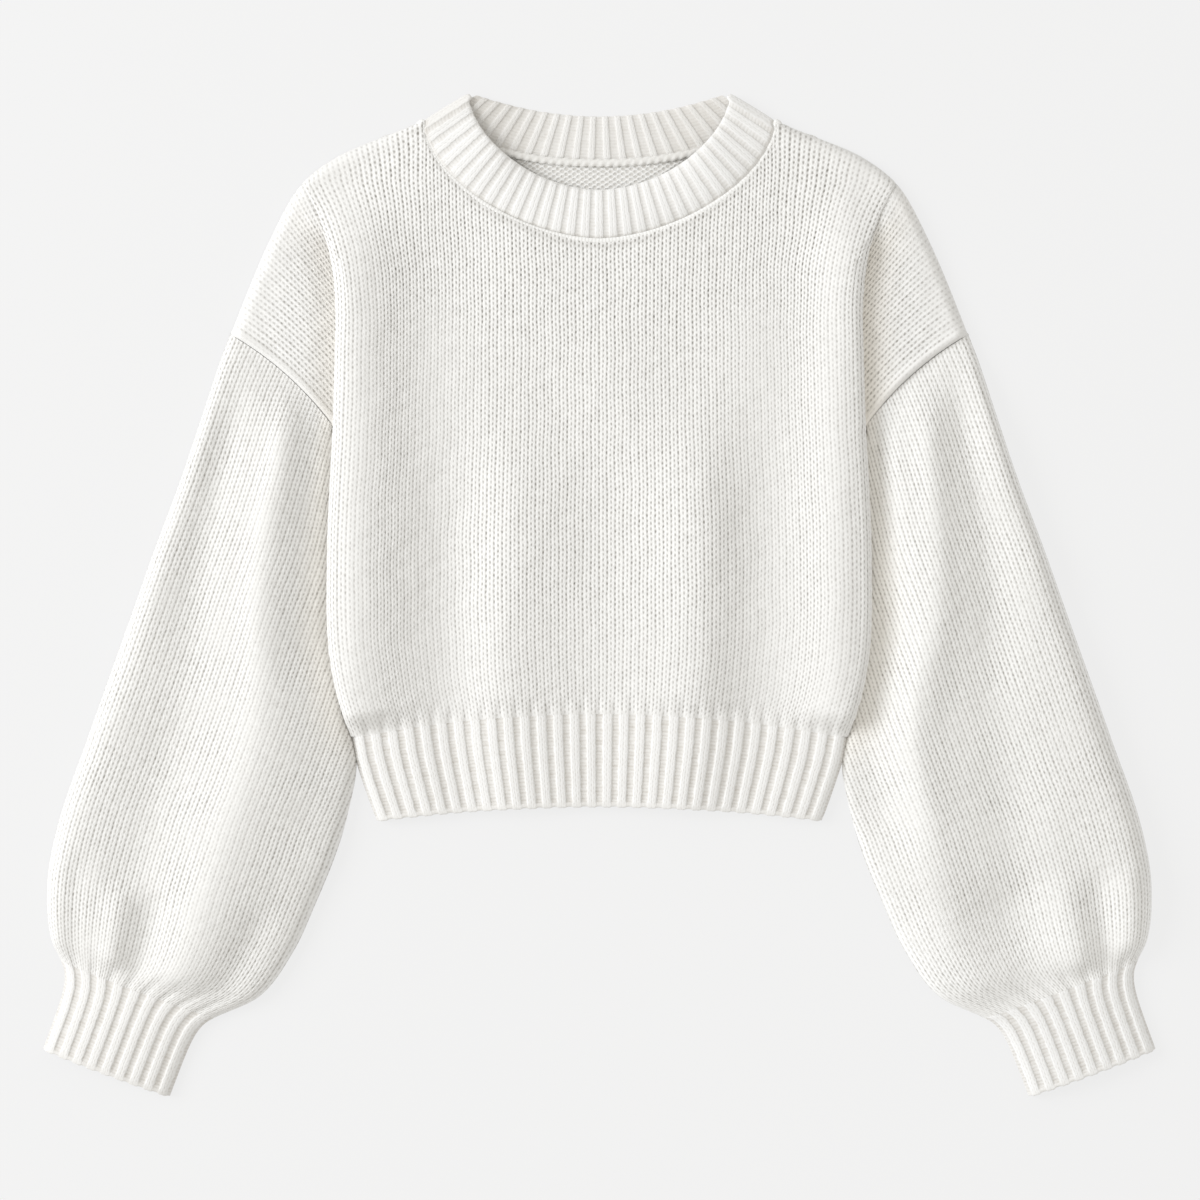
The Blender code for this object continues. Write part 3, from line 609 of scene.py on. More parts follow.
def rib_depth(u, v):
    """Depth of the ribbing's surface: fine lines down each rib and deep, hatched purl valleys, which the
    colour shows as painted shade.
    """
    s = u.calculate("FRACT")
    knit_side = knit_depth((s - 0.18) / 0.32, v) * 0.42
    purl_side = abs((v * (0.5 * PURL_BARS)).sine()) * -0.3 + 0.74
    limits = {"Value": abs(s - 0.5), "From Min": 0.27, "From Max": 0.35}
    step = add_node(u.tree, "ShaderNodeMapRange", "Result", limits, interpolation_type="SMOOTHSTEP")
    return blend(knit_side, purl_side, step)


def purl_depth(u, v):
    """Depth of the wrong side of stocking stitch: two wavy rows of loops to a course."""
    wave = u.cosine() * PURL_WAVE
    return abs(((v + wave) * 0.5).cosine()) * abs(((v - wave) * 0.5).sine()) * 1.6


def seam_depth(_, v):
    """Depth of a smooth sewn edge: only the turns of its yarn."""
    return abs((v * 0.5).sine()) ** 4 * 0.3


def cloth_material(name, colour, shade, stitches, shade_warmth):
    """Wool-like yarn: stitches from the stitch map with plies and fuzz, and shade painted in their gaps.
    """
    material = new_material(name)
    tree = material.node_tree
    stitch_map = add_node(tree, "ShaderNodeUVMap", "UV", {}, uv_map=STITCH_MAP)
    place = add_node(tree, "ShaderNodeTexCoord", "Object", {})
    open_gaps, tone, warm = (
        add_node(tree, "ShaderNodeAttribute", "Fac", {}, attribute_name=look) for look in LOOKS
    )
    u, v = (add_node(tree, "ShaderNodeSeparateXYZ", axis, {0: stitch_map}) for axis in "XY")
    # No two stitches lie alike: rows drift, and legs lean a little to either side
    v = (stitch_map.noise(0.9, 1) - 0.5) * 0.35 + v
    u = (place.noise(260, 1) - 0.5) * 0.16 + u
    depth = stitches(u, v)
    fuzz = place.noise(1400, 2) - 0.5
    # Colour: painted shade darkens the gaps between the legs, and the yarn is a little uneven
    patchy = (stitch_map.noise(0.55, 1) * 0.7 + 0.65) * (place.noise(330, 1) * 1.2 + 0.4)
    # Where the gaps are closed, a steady painted shade stands in for theirs
    closed_gap_shade = (open_gaps * -1 + 1) * MEAN_GAP_SHADE
    painted_shade = (depth * patchy * open_gaps + closed_gap_shade) * shade
    light = painted_shade.calculate("MULTIPLY_ADD", -1, 1, clamp=True)
    lumps = (place.noise(160, 2) - 0.5) * 0.05 + 1
    # Painted light and shade from the mesh lightens and darkens the colour
    light = light * ((fuzz * 0.1 + 1) * lumps) * tone
    # Darker colour loses more blue and some green, as painted warm shade, and the painted warm shade from
    # the mesh takes out more
    channels = {0: light}
    for number, share in ((1, GREEN_SHARE), (2, 1)):
        channels[number] = light ** (1 + share * shade_warmth) * (warm * -share + 1)
    layers = {0: 1, 6: colour, 7: add_node(tree, "ShaderNodeCombineColor", 0, channels)}
    paint = add_node(tree, "ShaderNodeMix", 2, layers, data_type="RGBA", blend_type="MULTIPLY")
    level = fuzz * 0.35 + 1 - depth * open_gaps
    relief = {"Strength": 0.6, "Distance": 0.8 * METRES, "Height": level}
    normal = add_node(tree, "ShaderNodeBump", 0, relief)
    shader = {"Base Color": paint, "Normal": normal, "Roughness": 0.92, "Specular IOR Level": 0.18}
    shader.update({"Sheen Weight": 0.12, "Sheen Roughness": 0.6})
    set_inputs(tree, tree.nodes["Principled BSDF"], shader)
    return material


# The sleeves, the inside of the back and the seams take a darker copy of the yarn's colour, as painted
# shade
KNIT_COLOUR = (0.902, 0.902, 0.892, 1)
SHADED_YARN_COLOUR = (0.87, 0.87, 0.858, 1)
RIB_COLOUR = (0.835, 0.835, 0.828, 1)
knit = cloth_material("knit_cloth", KNIT_COLOUR, 0.57, knit_depth, 0.1)
sleeve_knit = cloth_material("sleeve_cloth", SHADED_YARN_COLOUR, 0.42, drawn_depth, 0.12)
purl = cloth_material("purl_cloth", SHADED_YARN_COLOUR, 0.16, purl_depth, 0.2)
rib = cloth_material("rib_cloth", RIB_COLOUR, 0.31, rib_depth, 0.3)
collar_rib = cloth_material("collar_cloth", RIB_COLOUR, 0.18, rib_depth, 0.3)
seam_cloth = cloth_material("seam_cloth", SHADED_YARN_COLOUR, 0.3, seam_depth, 0.2)


# Front


def fold_depth(y):
    """How far the body's edge stands over the shoulder: 1 along the side and 0 at the top."""
    return ramp(y, FOLD_GONE, FOLD_WHOLE)


def body_x(w, y):
    """Half width at w wales from the centre, on the flat top of the front."""
    depth = fold_depth(y)
    radius = 1 + ROLL_RADIUS * depth
    share = clamp(w / (BODY_WALES - ROLL_INSIDE * depth))
    core = body_side(np.minimum(y, CORE_TOP))
    return (core - radius) * wale_share(share) + (body_side(y) - core) * share**6


def column_top(w):
    """Where a column of the front ends: on the neckline, or on top of the shoulder."""
    under_neck = NECK_POINT[0] * wale_share(w / BODY_WALES) / wale_share(NECK_WALES / BODY_WALES)
    under_neck = np.minimum(under_neck, NECK_POINT[0])
    over = (w - NECK_WALES) / (BODY_WALES - NECK_WALES)
    place = shoulder(BODY_SHOULDER * clamp(over))
    on_neck = w < NECK_WALES
    x = np.where(on_neck, under_neck, place[..., 0])
    y = np.where(on_neck, neckline_y(under_neck), place[..., 1])
    return x, y


def body_level(x, y):
    """Height of the front's cloth away from its edges."""
    swell = 0.6 * uneven(x, y, 110, 3) + 0.12 * uneven(x, y, 34, 4)
    return BODY_BASE + fold_sum(np.clip(x, -body_side(y), body_side(y)), y) + swell


def hem_swell(share):
    """The body's folds in the hem's top, at shares of its half width from -1 to 1."""
    calm = 1 - 0.75 * ramp(np.abs(share), 0.62, 0.87)
    low_end = min(fold[1] for fold in BODY_FOLDS)
    return HEM_SWELL * calm * fold_sum(share * BODY_CORNER_X, low_end)


def hem_level(x):
    """Height of the hem's ribs where the body joins them."""
    half = HEM_SIDE[0][1]
    share = np.clip(x / half, -1, 1)
    ridge = RIB_HEIGHT * rib_ridge(0.5 * HEM_RIBS * (1 + share))
    top = TUBE_HEIGHT + HEM_CROWN * (1 - np.abs(share) ** HEM_ROUNDNESS) + ridge + hem_swell(share)
    return blend(EDGE_LEVEL, top, rounded(half * (1 - np.abs(share)), BAND_ROUND))


def front_body():
    """Front of the body: a grid along the wales, its sides rolled over into standing folds."""
    last_wale = BODY_WALES + ROLL_OUTSIDE
    wales = np.linspace(-last_wale, last_wale, int(round(2 * last_wale * COLUMNS)) + 1)
    top_x, top_y = column_top(np.abs(wales))
    count = int(math.ceil((NECK_POINT[1] - HEM_SEAM_Y) / COURSE)) + 1
    courses = np.arange(count * ROWS + 1) / ROWS
    w, v = np.meshgrid(wales, courses)
    side, w_in = np.sign(w), np.abs(w)
    level = HEM_SEAM_Y + COURSE * v
    drop = HEM_SEAM_DROP * (body_x(w_in, level) / BODY_CORNER_X) ** 2
    y = level - drop * ramp(v, LEVEL_COURSES, 0)
    last = np.minimum((y < top_y).sum(axis=0), len(courses) - 1)
    y = np.minimum(y, top_y)
    above = top_y - y
    bottom = y[:1]
    drift = (top_x - body_x(np.abs(wales), top_y)) * np.exp(-above / TOP_DRIFT)
    depth = fold_depth(y)
    radius = 1 + ROLL_RADIUS * depth
    edge = body_side(y)
    flat_x = body_x(w_in, y) + np.where(w_in <= BODY_WALES, drift, 0)
    # Heights of the flat top
    full = body_level(side * flat_x, y)
    full = blend(hem_level(side * flat_x), full, smooth((y - bottom) / HEM_BLEND))
    past_neck = w_in - NECK_WALES
    off_neck = smooth(past_neck / 4)
    rim = blend(NECK_JOIN, SHOULDER_RIM, smooth(past_neck / 1.2))
    full = blend(rim, full, rounded(above, blend(NECK_ROUND, SHOULDER_ROUND, off_neck)))
    # The roll at the side
    start = BODY_WALES - ROLL_INSIDE * depth
    span = (ROLL_INSIDE + ROLL_OUTSIDE) * depth
    share = clamp((w_in - start) / np.maximum(span, 1e-6))
    over_cap = ramp(y, ARMPIT[1] - 6, ARMPIT[1] + 6)
    turn = np.radians(90 - share * blend(ROLL_TURN, ROLL_TURN_OVER_CAP, over_cap))
    low = np.minimum(blend(ROLL_END, ROLL_END_OVER_CAP, over_cap), full)
    roll_x = edge - radius + radius * np.cos(turn)
    roll_z = low + (full - low) * 0.5 * (1 + np.sin(turn))
    on_roll = w_in > start
    x = np.where(on_roll, roll_x, flat_x)
    z = np.where(on_roll, roll_z, full)
    wave = 0.25 * uneven(side * x, y, 45, 5)
    x = side * (x + wave * smooth((edge - x) / 20) * smooth(above / 15))
    fade = smooth(above / 3) * smooth((y - bottom) / 5)
    points = knitted(np.stack((x, y, z), -1), w, v, fade, 6)
    # The gaps close on the folds' crests and in the soft valleys beside them, which lowers their relief
    # and smooths out the shade painted in them; on the crests this is painted light, standing in for
    # stitches that the lamp washes out
    closed = 0.45 * bump(w_in - 21.5, 5) * ramp(y, 235, 175) + 0.5 * bump(w_in - 31.5, 2.6)
    open_gaps = (1 - closed) * (1 + 0.2 * ramp(y, 150, 210)) * (1 - 0.2 * ramp(y, 10, -50))
    open_gaps = open_gaps * (1 - 0.5 * off_neck * ramp(above, 18, 2)) * (0.4 + 0.6 * fade)
    # Painted shade darkens the front's stitches just beside the neck's seam
    tone = 1 - JOIN_SHADE * (1 - off_neck) * bump(above - 4.6, 2.2)
    return patch(points, w, v, last=last, open_gaps=open_gaps, tone=tone)


def armhole_distance(place):
    """Distance inside the armhole seam, 0 on it."""
    run = SLEEVE_TIP - ARMPIT
    size = norm(run)
    share = clamp((place - ARMPIT) @ run / size**2)
    away = (place - ARMPIT) @ quarter_turn(run / size)
    return np.maximum(away - armhole_bow(share), 0)


def front_cap(side):
    """Shoulder cap between the standing fold and the armhole: its wales fan from the shoulder."""
    across = np.linspace(0, 1, CAP_WALES * COLUMNS + 1)
    total = shoulder_keys[-1] - BODY_SHOULDER
    start = shoulder(BODY_SHOULDER + total * across)
    slope = np.tan(np.radians(CAP_ANGLE + CAP_FAN * (1 - (1 - across) ** 3)))
    # Each wale ends under the body's edge
    end_y = start[:, 1] - 60
    for _ in range(60):
        target = body_side(end_y) - CAP_TUCK
        end_y += 0.6 * ((start[:, 1] - (start[:, 0] - target) / slope) - end_y)
    end = np.stack((body_side(end_y) - CAP_TUCK, end_y), -1)
    length = norm(end - start, axis=1)
    rows = int(length.max() / COURSE) * ROWS + 1
    run = np.arange(rows + 1)[:, None] * COURSE / ROWS
    last = np.minimum((run < length).sum(axis=0), rows)
    run = np.minimum(run, length)
    along = unit(end - start)
    to_armpit = np.minimum(run / length * length[-1] / norm(SLEEVE_TIP - ARMPIT), 1)
    bow = across**2 * armhole_bow(to_armpit)
    place = start + along * run[..., None] - quarter_turn(along) * bow[..., None]
    x, y = place[..., 0], place[..., 1]
    past_body = x - body_side(y)
    seam = armhole_distance(place)
    join = ramp(y, 236, 270) * ramp(past_body, 34, 0)
    beside = bump(past_body, 16)
    z = CAP_BASE - CAP_DIP[side] * beside
    z = z + 0.5 * uneven(side * x, y, 70, 8) + 0.12 * uneven(side * x, y, 30, 9)
    z = blend(SHOULDER_RIM, blend(z, body_level(side * x, y), join), rounded(run, 10))
    z = z + CAP_WELT * bump(seam - 3, 3) * smooth(run / 10)
    z = blend(CAP_EDGE, z, rounded(seam, 3.4))
    v = run / COURSE
    u = np.broadcast_to(across * CAP_WALES, v.shape)
    fade = smooth(run / 3) * (0.25 + 0.75 * ramp(seam, 5.5, 8.5)) * smooth(seam / 2)
    points = knitted(at_level(place, z), u, v, fade, 10)
    open_gaps = 0.85 * (0.35 + 0.65 * smooth(run / 34)) * (0.3 + 0.7 * ramp(seam, 4, 7))
    # Painted light and shade for each side: beside the body's fold the right cap is a little deeper and
    # the left one lighter, with painted warm shade there
    whole, tone, shade_warmth = CAP_PAINTED_SHADING[side]
    beside = beside * (1 - join)
    # The first columns lie under the body's edge
    lap = [points[:, :1] - np.array(step) for step in CAP_LAP]
    for column in lap:
        column[..., 2] = np.maximum(column[..., 2], 0.3)
    parts = [np.hstack(lap + [points])]
    for grid in (u, v, open_gaps, whole + tone * beside, shade_warmth * beside):
        parts.append(np.pad(grid, ((0, 0), (len(lap), 0)), "edge"))
    last = np.pad(last, (len(lap), 0), "edge")
    # Columns run from the fold out to the seam and rows down the wales, so they are turned round
    points, u, v, *looks = (part[:, ::-1] for part in parts)
    return patch(points, u, v, None, last[::-1], side, *looks)


front = make_piece("front_knit", [front_body()], knit, ["front"])
caps = [
    make_piece("shoulder_cap_" + word, [front_cap(side)], knit)
    for word, side in SIDES.items()
]


# Sleeves


def sleeve_ends(along):
    """Points on a sleeve's inner and outer edge; the inner one tucks in under the body's side."""
    inner, outer = sleeve_inner(along), sleeve_outer(along)
    at_corner = CORNER_TUCK * bump(inner[..., 1] - CORNER_Y, 30)
    inner[..., 0] -= at_corner
    beside = body_side(inner[..., 1]) - TUCK - at_corner
    tucked = np.maximum(inner[..., 0], beside)
    inner[..., 0] = np.where(inner[..., 1] > HEM_SEAM_Y - HEM_SEAM_DROP, tucked, inner[..., 0])
    return inner, outer


def sleeve_place(inner, outer, share, along):
    """Places at shares of a sleeve's width from its inner edge, bowed where it joins the armhole."""
    run = outer - inner
    bow = ramp(along, ARMHOLE_REACH, 0) * armhole_bow(share)
    return inner + run * share[..., None] + quarter_turn(unit(run)) * bow[..., None]


def sleeve_middle(inner, outer):
    """Running length down a sleeve, nearer to its outer edge."""
    return lengths(0.4 * inner + 0.6 * outer)


def inner_level(side, y):
    """Height of a sleeve's inner edge, up against the body's roll and low where it is free."""
    free = ramp(y, -62, -94)
    beside = (1 - free) * ramp(y, ARMPIT[1], ARMPIT[1] - 15)
    return blend(EDGE_LEVEL, BESIDE_LEVEL[side], beside), free


def cuff_level(share):
    """Height of the cuff's ribs where the sleeve joins them, at shares of the width."""
    crown = CUFF_CROWN * (1 - np.abs(2 * share - 1) ** CUFF_ROUNDNESS)
    return TUBE_HEIGHT + crown + RIB_HEIGHT * rib_ridge(CUFF_RIBS * share)


def sleeve_top(side):
    """Upper face of a sleeve: wales run beside its outer edge, and more begin along the inner one."""
    fine = np.linspace(0, 1, 801)
    inner, outer = sleeve_ends(fine)
    widths = norm(outer - inner, axis=1)
    middle = sleeve_middle(inner, outer)
    full = np.interp(SLEEVE_FULL, fine, widths)
    grown = np.maximum.accumulate(np.where(fine <= SLEEVE_FULL, widths, full))
    pitch = np.where(fine <= SLEEVE_FULL, full, widths) / SLEEVE_WALES
    rows = int(middle[-1] / COURSE * ROWS) + 1
    along_rows = np.interp(np.linspace(0, middle[-1], rows), middle, fine)[:, None]
    wales = np.arange(SLEEVE_WALES * COLUMNS + 1) / COLUMNS
    reach = wales * full / SLEEVE_WALES
    begin = np.where(reach <= widths[0], 0, np.interp(reach, grown, fine))
    first = np.maximum((along_rows < begin).sum(axis=0) - 1, 0)
    along = np.maximum(along_rows, begin)
    inner, outer = sleeve_ends(along)
    width = norm(outer - inner, axis=-1)
    out = np.minimum(wales * np.interp(along, fine, pitch), width)
    share = 1 - out / width
    place = sleeve_place(inner, outer, share, along)
    crown = sleeve_crown(along)
    relief = sleeve_fold_sum(side, share, along) * smooth(crown / 8)
    arch = (crown + relief) * (1 - np.abs(2 * share - 1) ** np.where(share < 0.5, 5, 13))
    rise = np.maximum(SLEEVE_BASE * smooth(crown / 6) + arch, 0)
    if side > 0:
        # The body's fold leans over the wearer's left sleeve, which lies low beside it
        rise = rise * (1 - SUNK_DEPTH * ramp(share, 0.29, 0.09) * ramp(along, 0.8, 0.65))
    top = TUBE_HEIGHT + rise + SEAM_RISE * ramp(along, 0.05, 0)
    top = top + 0.5 * uneven(side * place[..., 0], place[..., 1], 80, 12) * smooth(crown / 6)
    top = blend(top, cuff_level(share), ramp(along, 1 - CUFF_BLEND, 1) ** 1.5)
    level, free = inner_level(side, inner[..., 1])
    edge = np.minimum(blend(EDGE_LEVEL, level, ramp(width - out, 9, 0)), top)
    z = blend(edge, top, np.minimum(rounded(out, 8), rounded(width - out, 6 + 2 * free)))
    v = np.interp(along, fine, middle) / COURSE
    fade = smooth(np.minimum(out, width - out) / 3)
    fade = fade * smooth(along / 0.012 + 0.2) * smooth((1 - along) / 0.01 + 0.2)
    squeeze = np.interp(along, fine, pitch) / WALE
    # Rows run down the sleeve and columns inward, which already faces up on the left sleeve
    points = knitted(at_level(place, z), wales, v, squeeze * fade, 13, SLEEVE_GAP_PIT)
    open_gaps = (1 - 0.5 * ramp(relief, 3.5, 8.5)) * (1 - 0.35 * ramp(along, 0.9, 0.98))
    open_gaps = open_gaps * (1 + 0.18 * uneven(wales, 0.6 * v, 9, 21))
    # Painted light and shade for each side: the right sleeve a little deeper and the left lighter, both
    # lighter beside the body with painted warm shade there, and the left lighter toward its cuff
    beside = ramp(along, 0.62, 0.48) * ramp(share, 0.23, 0.05)
    whole, tone, shade_warmth = SLEEVE_PAINTED_SHADING[side]
    tone = whole + tone * beside + SLEEVE_END_PAINTED_LIGHT[side] * ramp(along, 0.8, 0.92)
    return patch(points, wales, -v, first, None, side, open_gaps, tone, shade_warmth * beside)


def sleeve_under(side):
    """Lower face of a sleeve, flat on the surface, joined to the upper face at both edges."""
    along = np.linspace(0, 1, 120)[:, None]
    inner, outer = sleeve_ends(along)
    width = norm(outer - inner, axis=-1)
    rim = np.array((0, 0.002, 0.006, 0.015, 0.03))
    share = np.hstack((rim, np.linspace(0.06, 0.94, 30), 1 - rim[::-1]))[None, :]
    place = sleeve_place(inner, outer, share, along)
    level = np.where(share < 0.5, inner_level(side, inner[..., 1])[0], EDGE_LEVEL)
    from_edge = np.minimum(share, 1 - share) * width
    z = blend(level, UNDER_LEVEL, rounded(from_edge, UNDER_ROUND))
    v = sleeve_middle(inner[:, 0], outer[:, 0])[:, None] / COURSE
    return patch(at_level(place, z), share * width / WALE, -v, side=side)


for word, side in SIDES.items():
    faces = [sleeve_top(side), sleeve_under(side)]
    name = "sleeve_" + word
    make_piece(name + "_knit", faces, sleeve_knit, [name])


# Hem and cuffs


def rib_columns(count):
    """Rib coordinate of each column over a ribbed band."""
    return np.append(np.arange(count)[:, None] + RIB_SHARES[:-1], float(count))


def band_rows(length):
    """Distance down a band for each row, how far it has turned in, and its course."""
    straight = np.linspace(-BAND_LAP, length - BAND_EDGE, int(length / COURSE * ROWS) + 1)
    turn = np.radians((25, 50, 75, 100, 130, 160, 180))
    round_end = length - BAND_EDGE + BAND_EDGE * np.sin(turn)
    along = np.hstack((straight, round_end, length - BAND_EDGE - BAND_RETURN))
    turned = np.hstack((0 * straight, BAND_EDGE * (1 - np.cos(turn)), 2 * BAND_EDGE))
    return along, turned, lengths(np.stack((along, turned), -1)) / COURSE


def band_grids(rows, middle, across, half, length, ribs, crown, roundness, swell=0):
    """Grids for the upper and lower face of a flat ribbed tube, its free end turned in.

    rows is from band_rows(); middle, across and half are its centre, direction and half width at
    each row. Also returned are the stitches' u and v, how far their gaps are open, and how far the
    end is notched.
    """
    along, turned, v = (part[:, None] for part in rows)
    u = rib_columns(ribs)[None, :]
    share = 2 * u / ribs - 1
    from_edge = (1 - np.abs(share)) * half[:, None]
    merge = np.where(turned > 0, 0, smooth((length - BAND_EDGE - along) / BAND_MERGE))
    height = blend(BAND_MEAN, rib_height(u, v), merge)
    top = TUBE_HEIGHT + crown * (1 - np.abs(share) ** roundness) + RIB_HEIGHT * height
    top = top + swell * (1 - 0.3 * along / length)
    thick = rounded(from_edge, BAND_ROUND)
    # The first rows lie under the cloth they are sewn to
    upper = blend(EDGE_LEVEL, top, thick) - turned * thick - 0.7 * smooth(-along / BAND_LAP)
    lower = blend(EDGE_LEVEL, UNDER_LEVEL, rounded(from_edge, UNDER_ROUND))
    lower = lower + turned * rounded(from_edge, 12)
    lower = lower + 0.5 * (1 - clamp(height)) * smooth(from_edge / 5)
    place = middle[:, None] + across * (share * half[:, None])[..., None]
    # The free end is notched a little between the ribs
    notch = BAND_NOTCH * (1 - rib_ridge(u)) * ramp(along, length - 8, length)
    return [at_level(place, upper), at_level(place, lower)], u, v, 0.35 + 0.65 * merge, notch


def band_patches(grids, u, v, open_gaps, **look):
    """The patches of a band's two faces, the upper one with its rows turned round to face up."""
    top, under = grids
    return [
        patch(top[::-1], u, v[::-1], open_gaps=open_gaps[::-1], **look),
        patch(under, u, v, open_gaps=open_gaps, **look),
    ]


def hem_patches():
    length = HEM_SEAM_Y - HEM_END_Y
    rows = band_rows(length)
    middle = np.zeros((len(rows[0]), 2))
    half = hem_side(rows[0] / length)
    swell = hem_swell(2 * rib_columns(HEM_RIBS) / HEM_RIBS - 1)
    shape = (length, HEM_RIBS, HEM_CROWN, HEM_ROUNDNESS, swell)
    grids, *look, notch = band_grids(rows, middle, np.array((1, 0)), half, *shape)
    for grid in grids:
        x, down = grid[..., 0], (rows[0][:, None] - notch) / length
        grid[..., 1] = blend(hem_seam(x), hem_end(x), down)
    return band_patches(grids, *look)


def cuff_patches(side):
    rows = band_rows(CUFF_LENGTH)
    half = CUFF_HALF_WIDTH + CUFF_FLARE * np.exp(-np.maximum(rows[0], 0) / CUFF_FLARE_REACH)
    down = np.array((math.sin(CUFF_ANGLE), -math.cos(CUFF_ANGLE)))
    middle = CUFF_START + down * (rows[0][:, None] + 0.3)
    shape = (CUFF_LENGTH, CUFF_RIBS, CUFF_CROWN, CUFF_ROUNDNESS)
    grids, *look, notch = band_grids(rows, middle, quarter_turn(down), half, *shape)
    for grid in grids:
        grid[..., :2] -= down * notch[..., None]
    # Painted shade on the right cuff and painted light on the left one
    return band_patches(grids, *look, side=side, tone=CUFF_PAINTED_SHADING[side])


hem_rib = make_piece("hem_ribbing", hem_patches(), rib, ["hem_rib"])
for word, side in SIDES.items():
    name = "cuff_" + word
    make_piece(name + "_ribbing", cuff_patches(side), rib, [name])


# Neckband

# Across the band, from its seam to its free edge: share of the width and how far it swells
SECTION = (
    (0, 0), (0.04, 0.25), (0.12, 0.55), (0.25, 0.85), (0.4, 1), (0.55, 1.05), (0.7, 1),
    (0.82, 0.85), (0.91, 0.6), (0.97, 0.3), (1, 0),
)
SECTION_SHARES, SECTION_SWELL = np.array(SECTION).T
SECTION_FULL = clamp(SECTION_SWELL)
SHOULDER_OUT = quarter_turn(unit(NECK_POINT - COLLAR_TOP_POINT))


def loop_section(seam, edge, low, arch, wall, stand=0):
    """Points round the band's wall: up its outer face from seam to free edge and back below."""
    place = blend(seam, edge, SECTION_SHARES[:, None])
    low = low + stand * SECTION_SHARES**1.5
    upper = low + wall * (0.55 + 0.45 * np.sqrt(SECTION_FULL)) + arch * SECTION_SWELL
    lower = low + wall * 0.25 * (1 - SECTION_FULL)
    return np.vstack((at_level(place, upper), at_level(place, lower)[::-1]))


def fold_loop(turn):
    """The same loop where the band turns over at the neck point, from 0 on top to 1 below."""
    angle = math.pi * (0.5 - turn)
    axis = blend(NECK_POINT, COLLAR_TOP_POINT, SECTION_SHARES[:, None]) - SHOULDER_OUT * FOLD_RADIUS
    edge = np.sqrt(SECTION_FULL)
    faces = []
    for depth in (0.3 * (1 - edge), 0.75 + 0.25 * edge):
        radius = FOLD_RADIUS - COLLAR_WALL * depth
        place = axis + SHOULDER_OUT * (radius * math.cos(angle))[:, None]
        faces.append(at_level(place, FOLD_RADIUS + radius * math.sin(angle)))
    return np.vstack((faces[0], faces[1][::-1]))


def neckband_keys():
    """Loops round the right half of the band, from the front's centre to the back's, and their ribs."""
    loops, ribs = [], []
    fine = np.linspace(0, 0.5 * math.pi, 400)
    run = lengths(0.5 * (neckline(fine) + collar_top(fine)))
    for share in np.linspace(0, COLLAR_FRONT_END, 26):
        angle = np.interp(share * run[-1], run, fine)
        low = blend(COLLAR_LOW, 2 * FOLD_RADIUS - COLLAR_WALL, ramp(share, 0.35, 0.85))
        arch = COLLAR_ARCH * ramp(share, 1, 0.6)
        stand = COLLAR_STAND * bump(share - 0.66, 0.2)
        wall = COLLAR_WALL + 1.2
        loops.append(loop_section(neckline(angle), collar_top(angle), low, arch, wall, stand))
        ribs.append(0.5 * FRONT_COLLAR_RIBS * share)
    for turn in (0.08, 0.25, 0.5, 0.75, 0.92):
        loops.append(fold_loop(turn))
        ribs.append(0.5 * FRONT_COLLAR_RIBS * COLLAR_FRONT_END + 1.2 * turn)
    start = ribs[-1]
    for share in np.linspace(COLLAR_BACK_START, 0, 20):
        x_seam, x_edge = NECK_POINT[0] * share, COLLAR_TOP_POINT[0] * share
        seam = np.array((x_seam, back_neckline(x_seam)))
        edge = np.array((x_edge, back_collar_top(x_edge)))
        rise = BACK_COLLAR_RISE * ramp(share, 0.45, 0.95)
        # Its outer face is below here
        outer, inner = np.split(loop_section(seam, edge, rise, 0, COLLAR_WALL), 2)
        loops.append(np.vstack((inner[::-1], outer[::-1])))
        ribs.append(start + 0.35 + 0.5 * BACK_COLLAR_RIBS * (COLLAR_BACK_START - share))
    ribs = np.array(ribs)
    # The count is rounded so that the mirrored halves meet in the middle of a rib or a valley
    ribs *= round(2 * ribs[-1]) / (2 * ribs[-1])
    return ribs, np.array(loops)


def neck_tone(x, middle=INSIDE_PAINTED_SHADE):
    """Painted shade on the cloth inside the neck, deeper toward both ends."""
    return blend(middle, INSIDE_END_PAINTED_SHADE, ramp(np.abs(x), 20, 82))


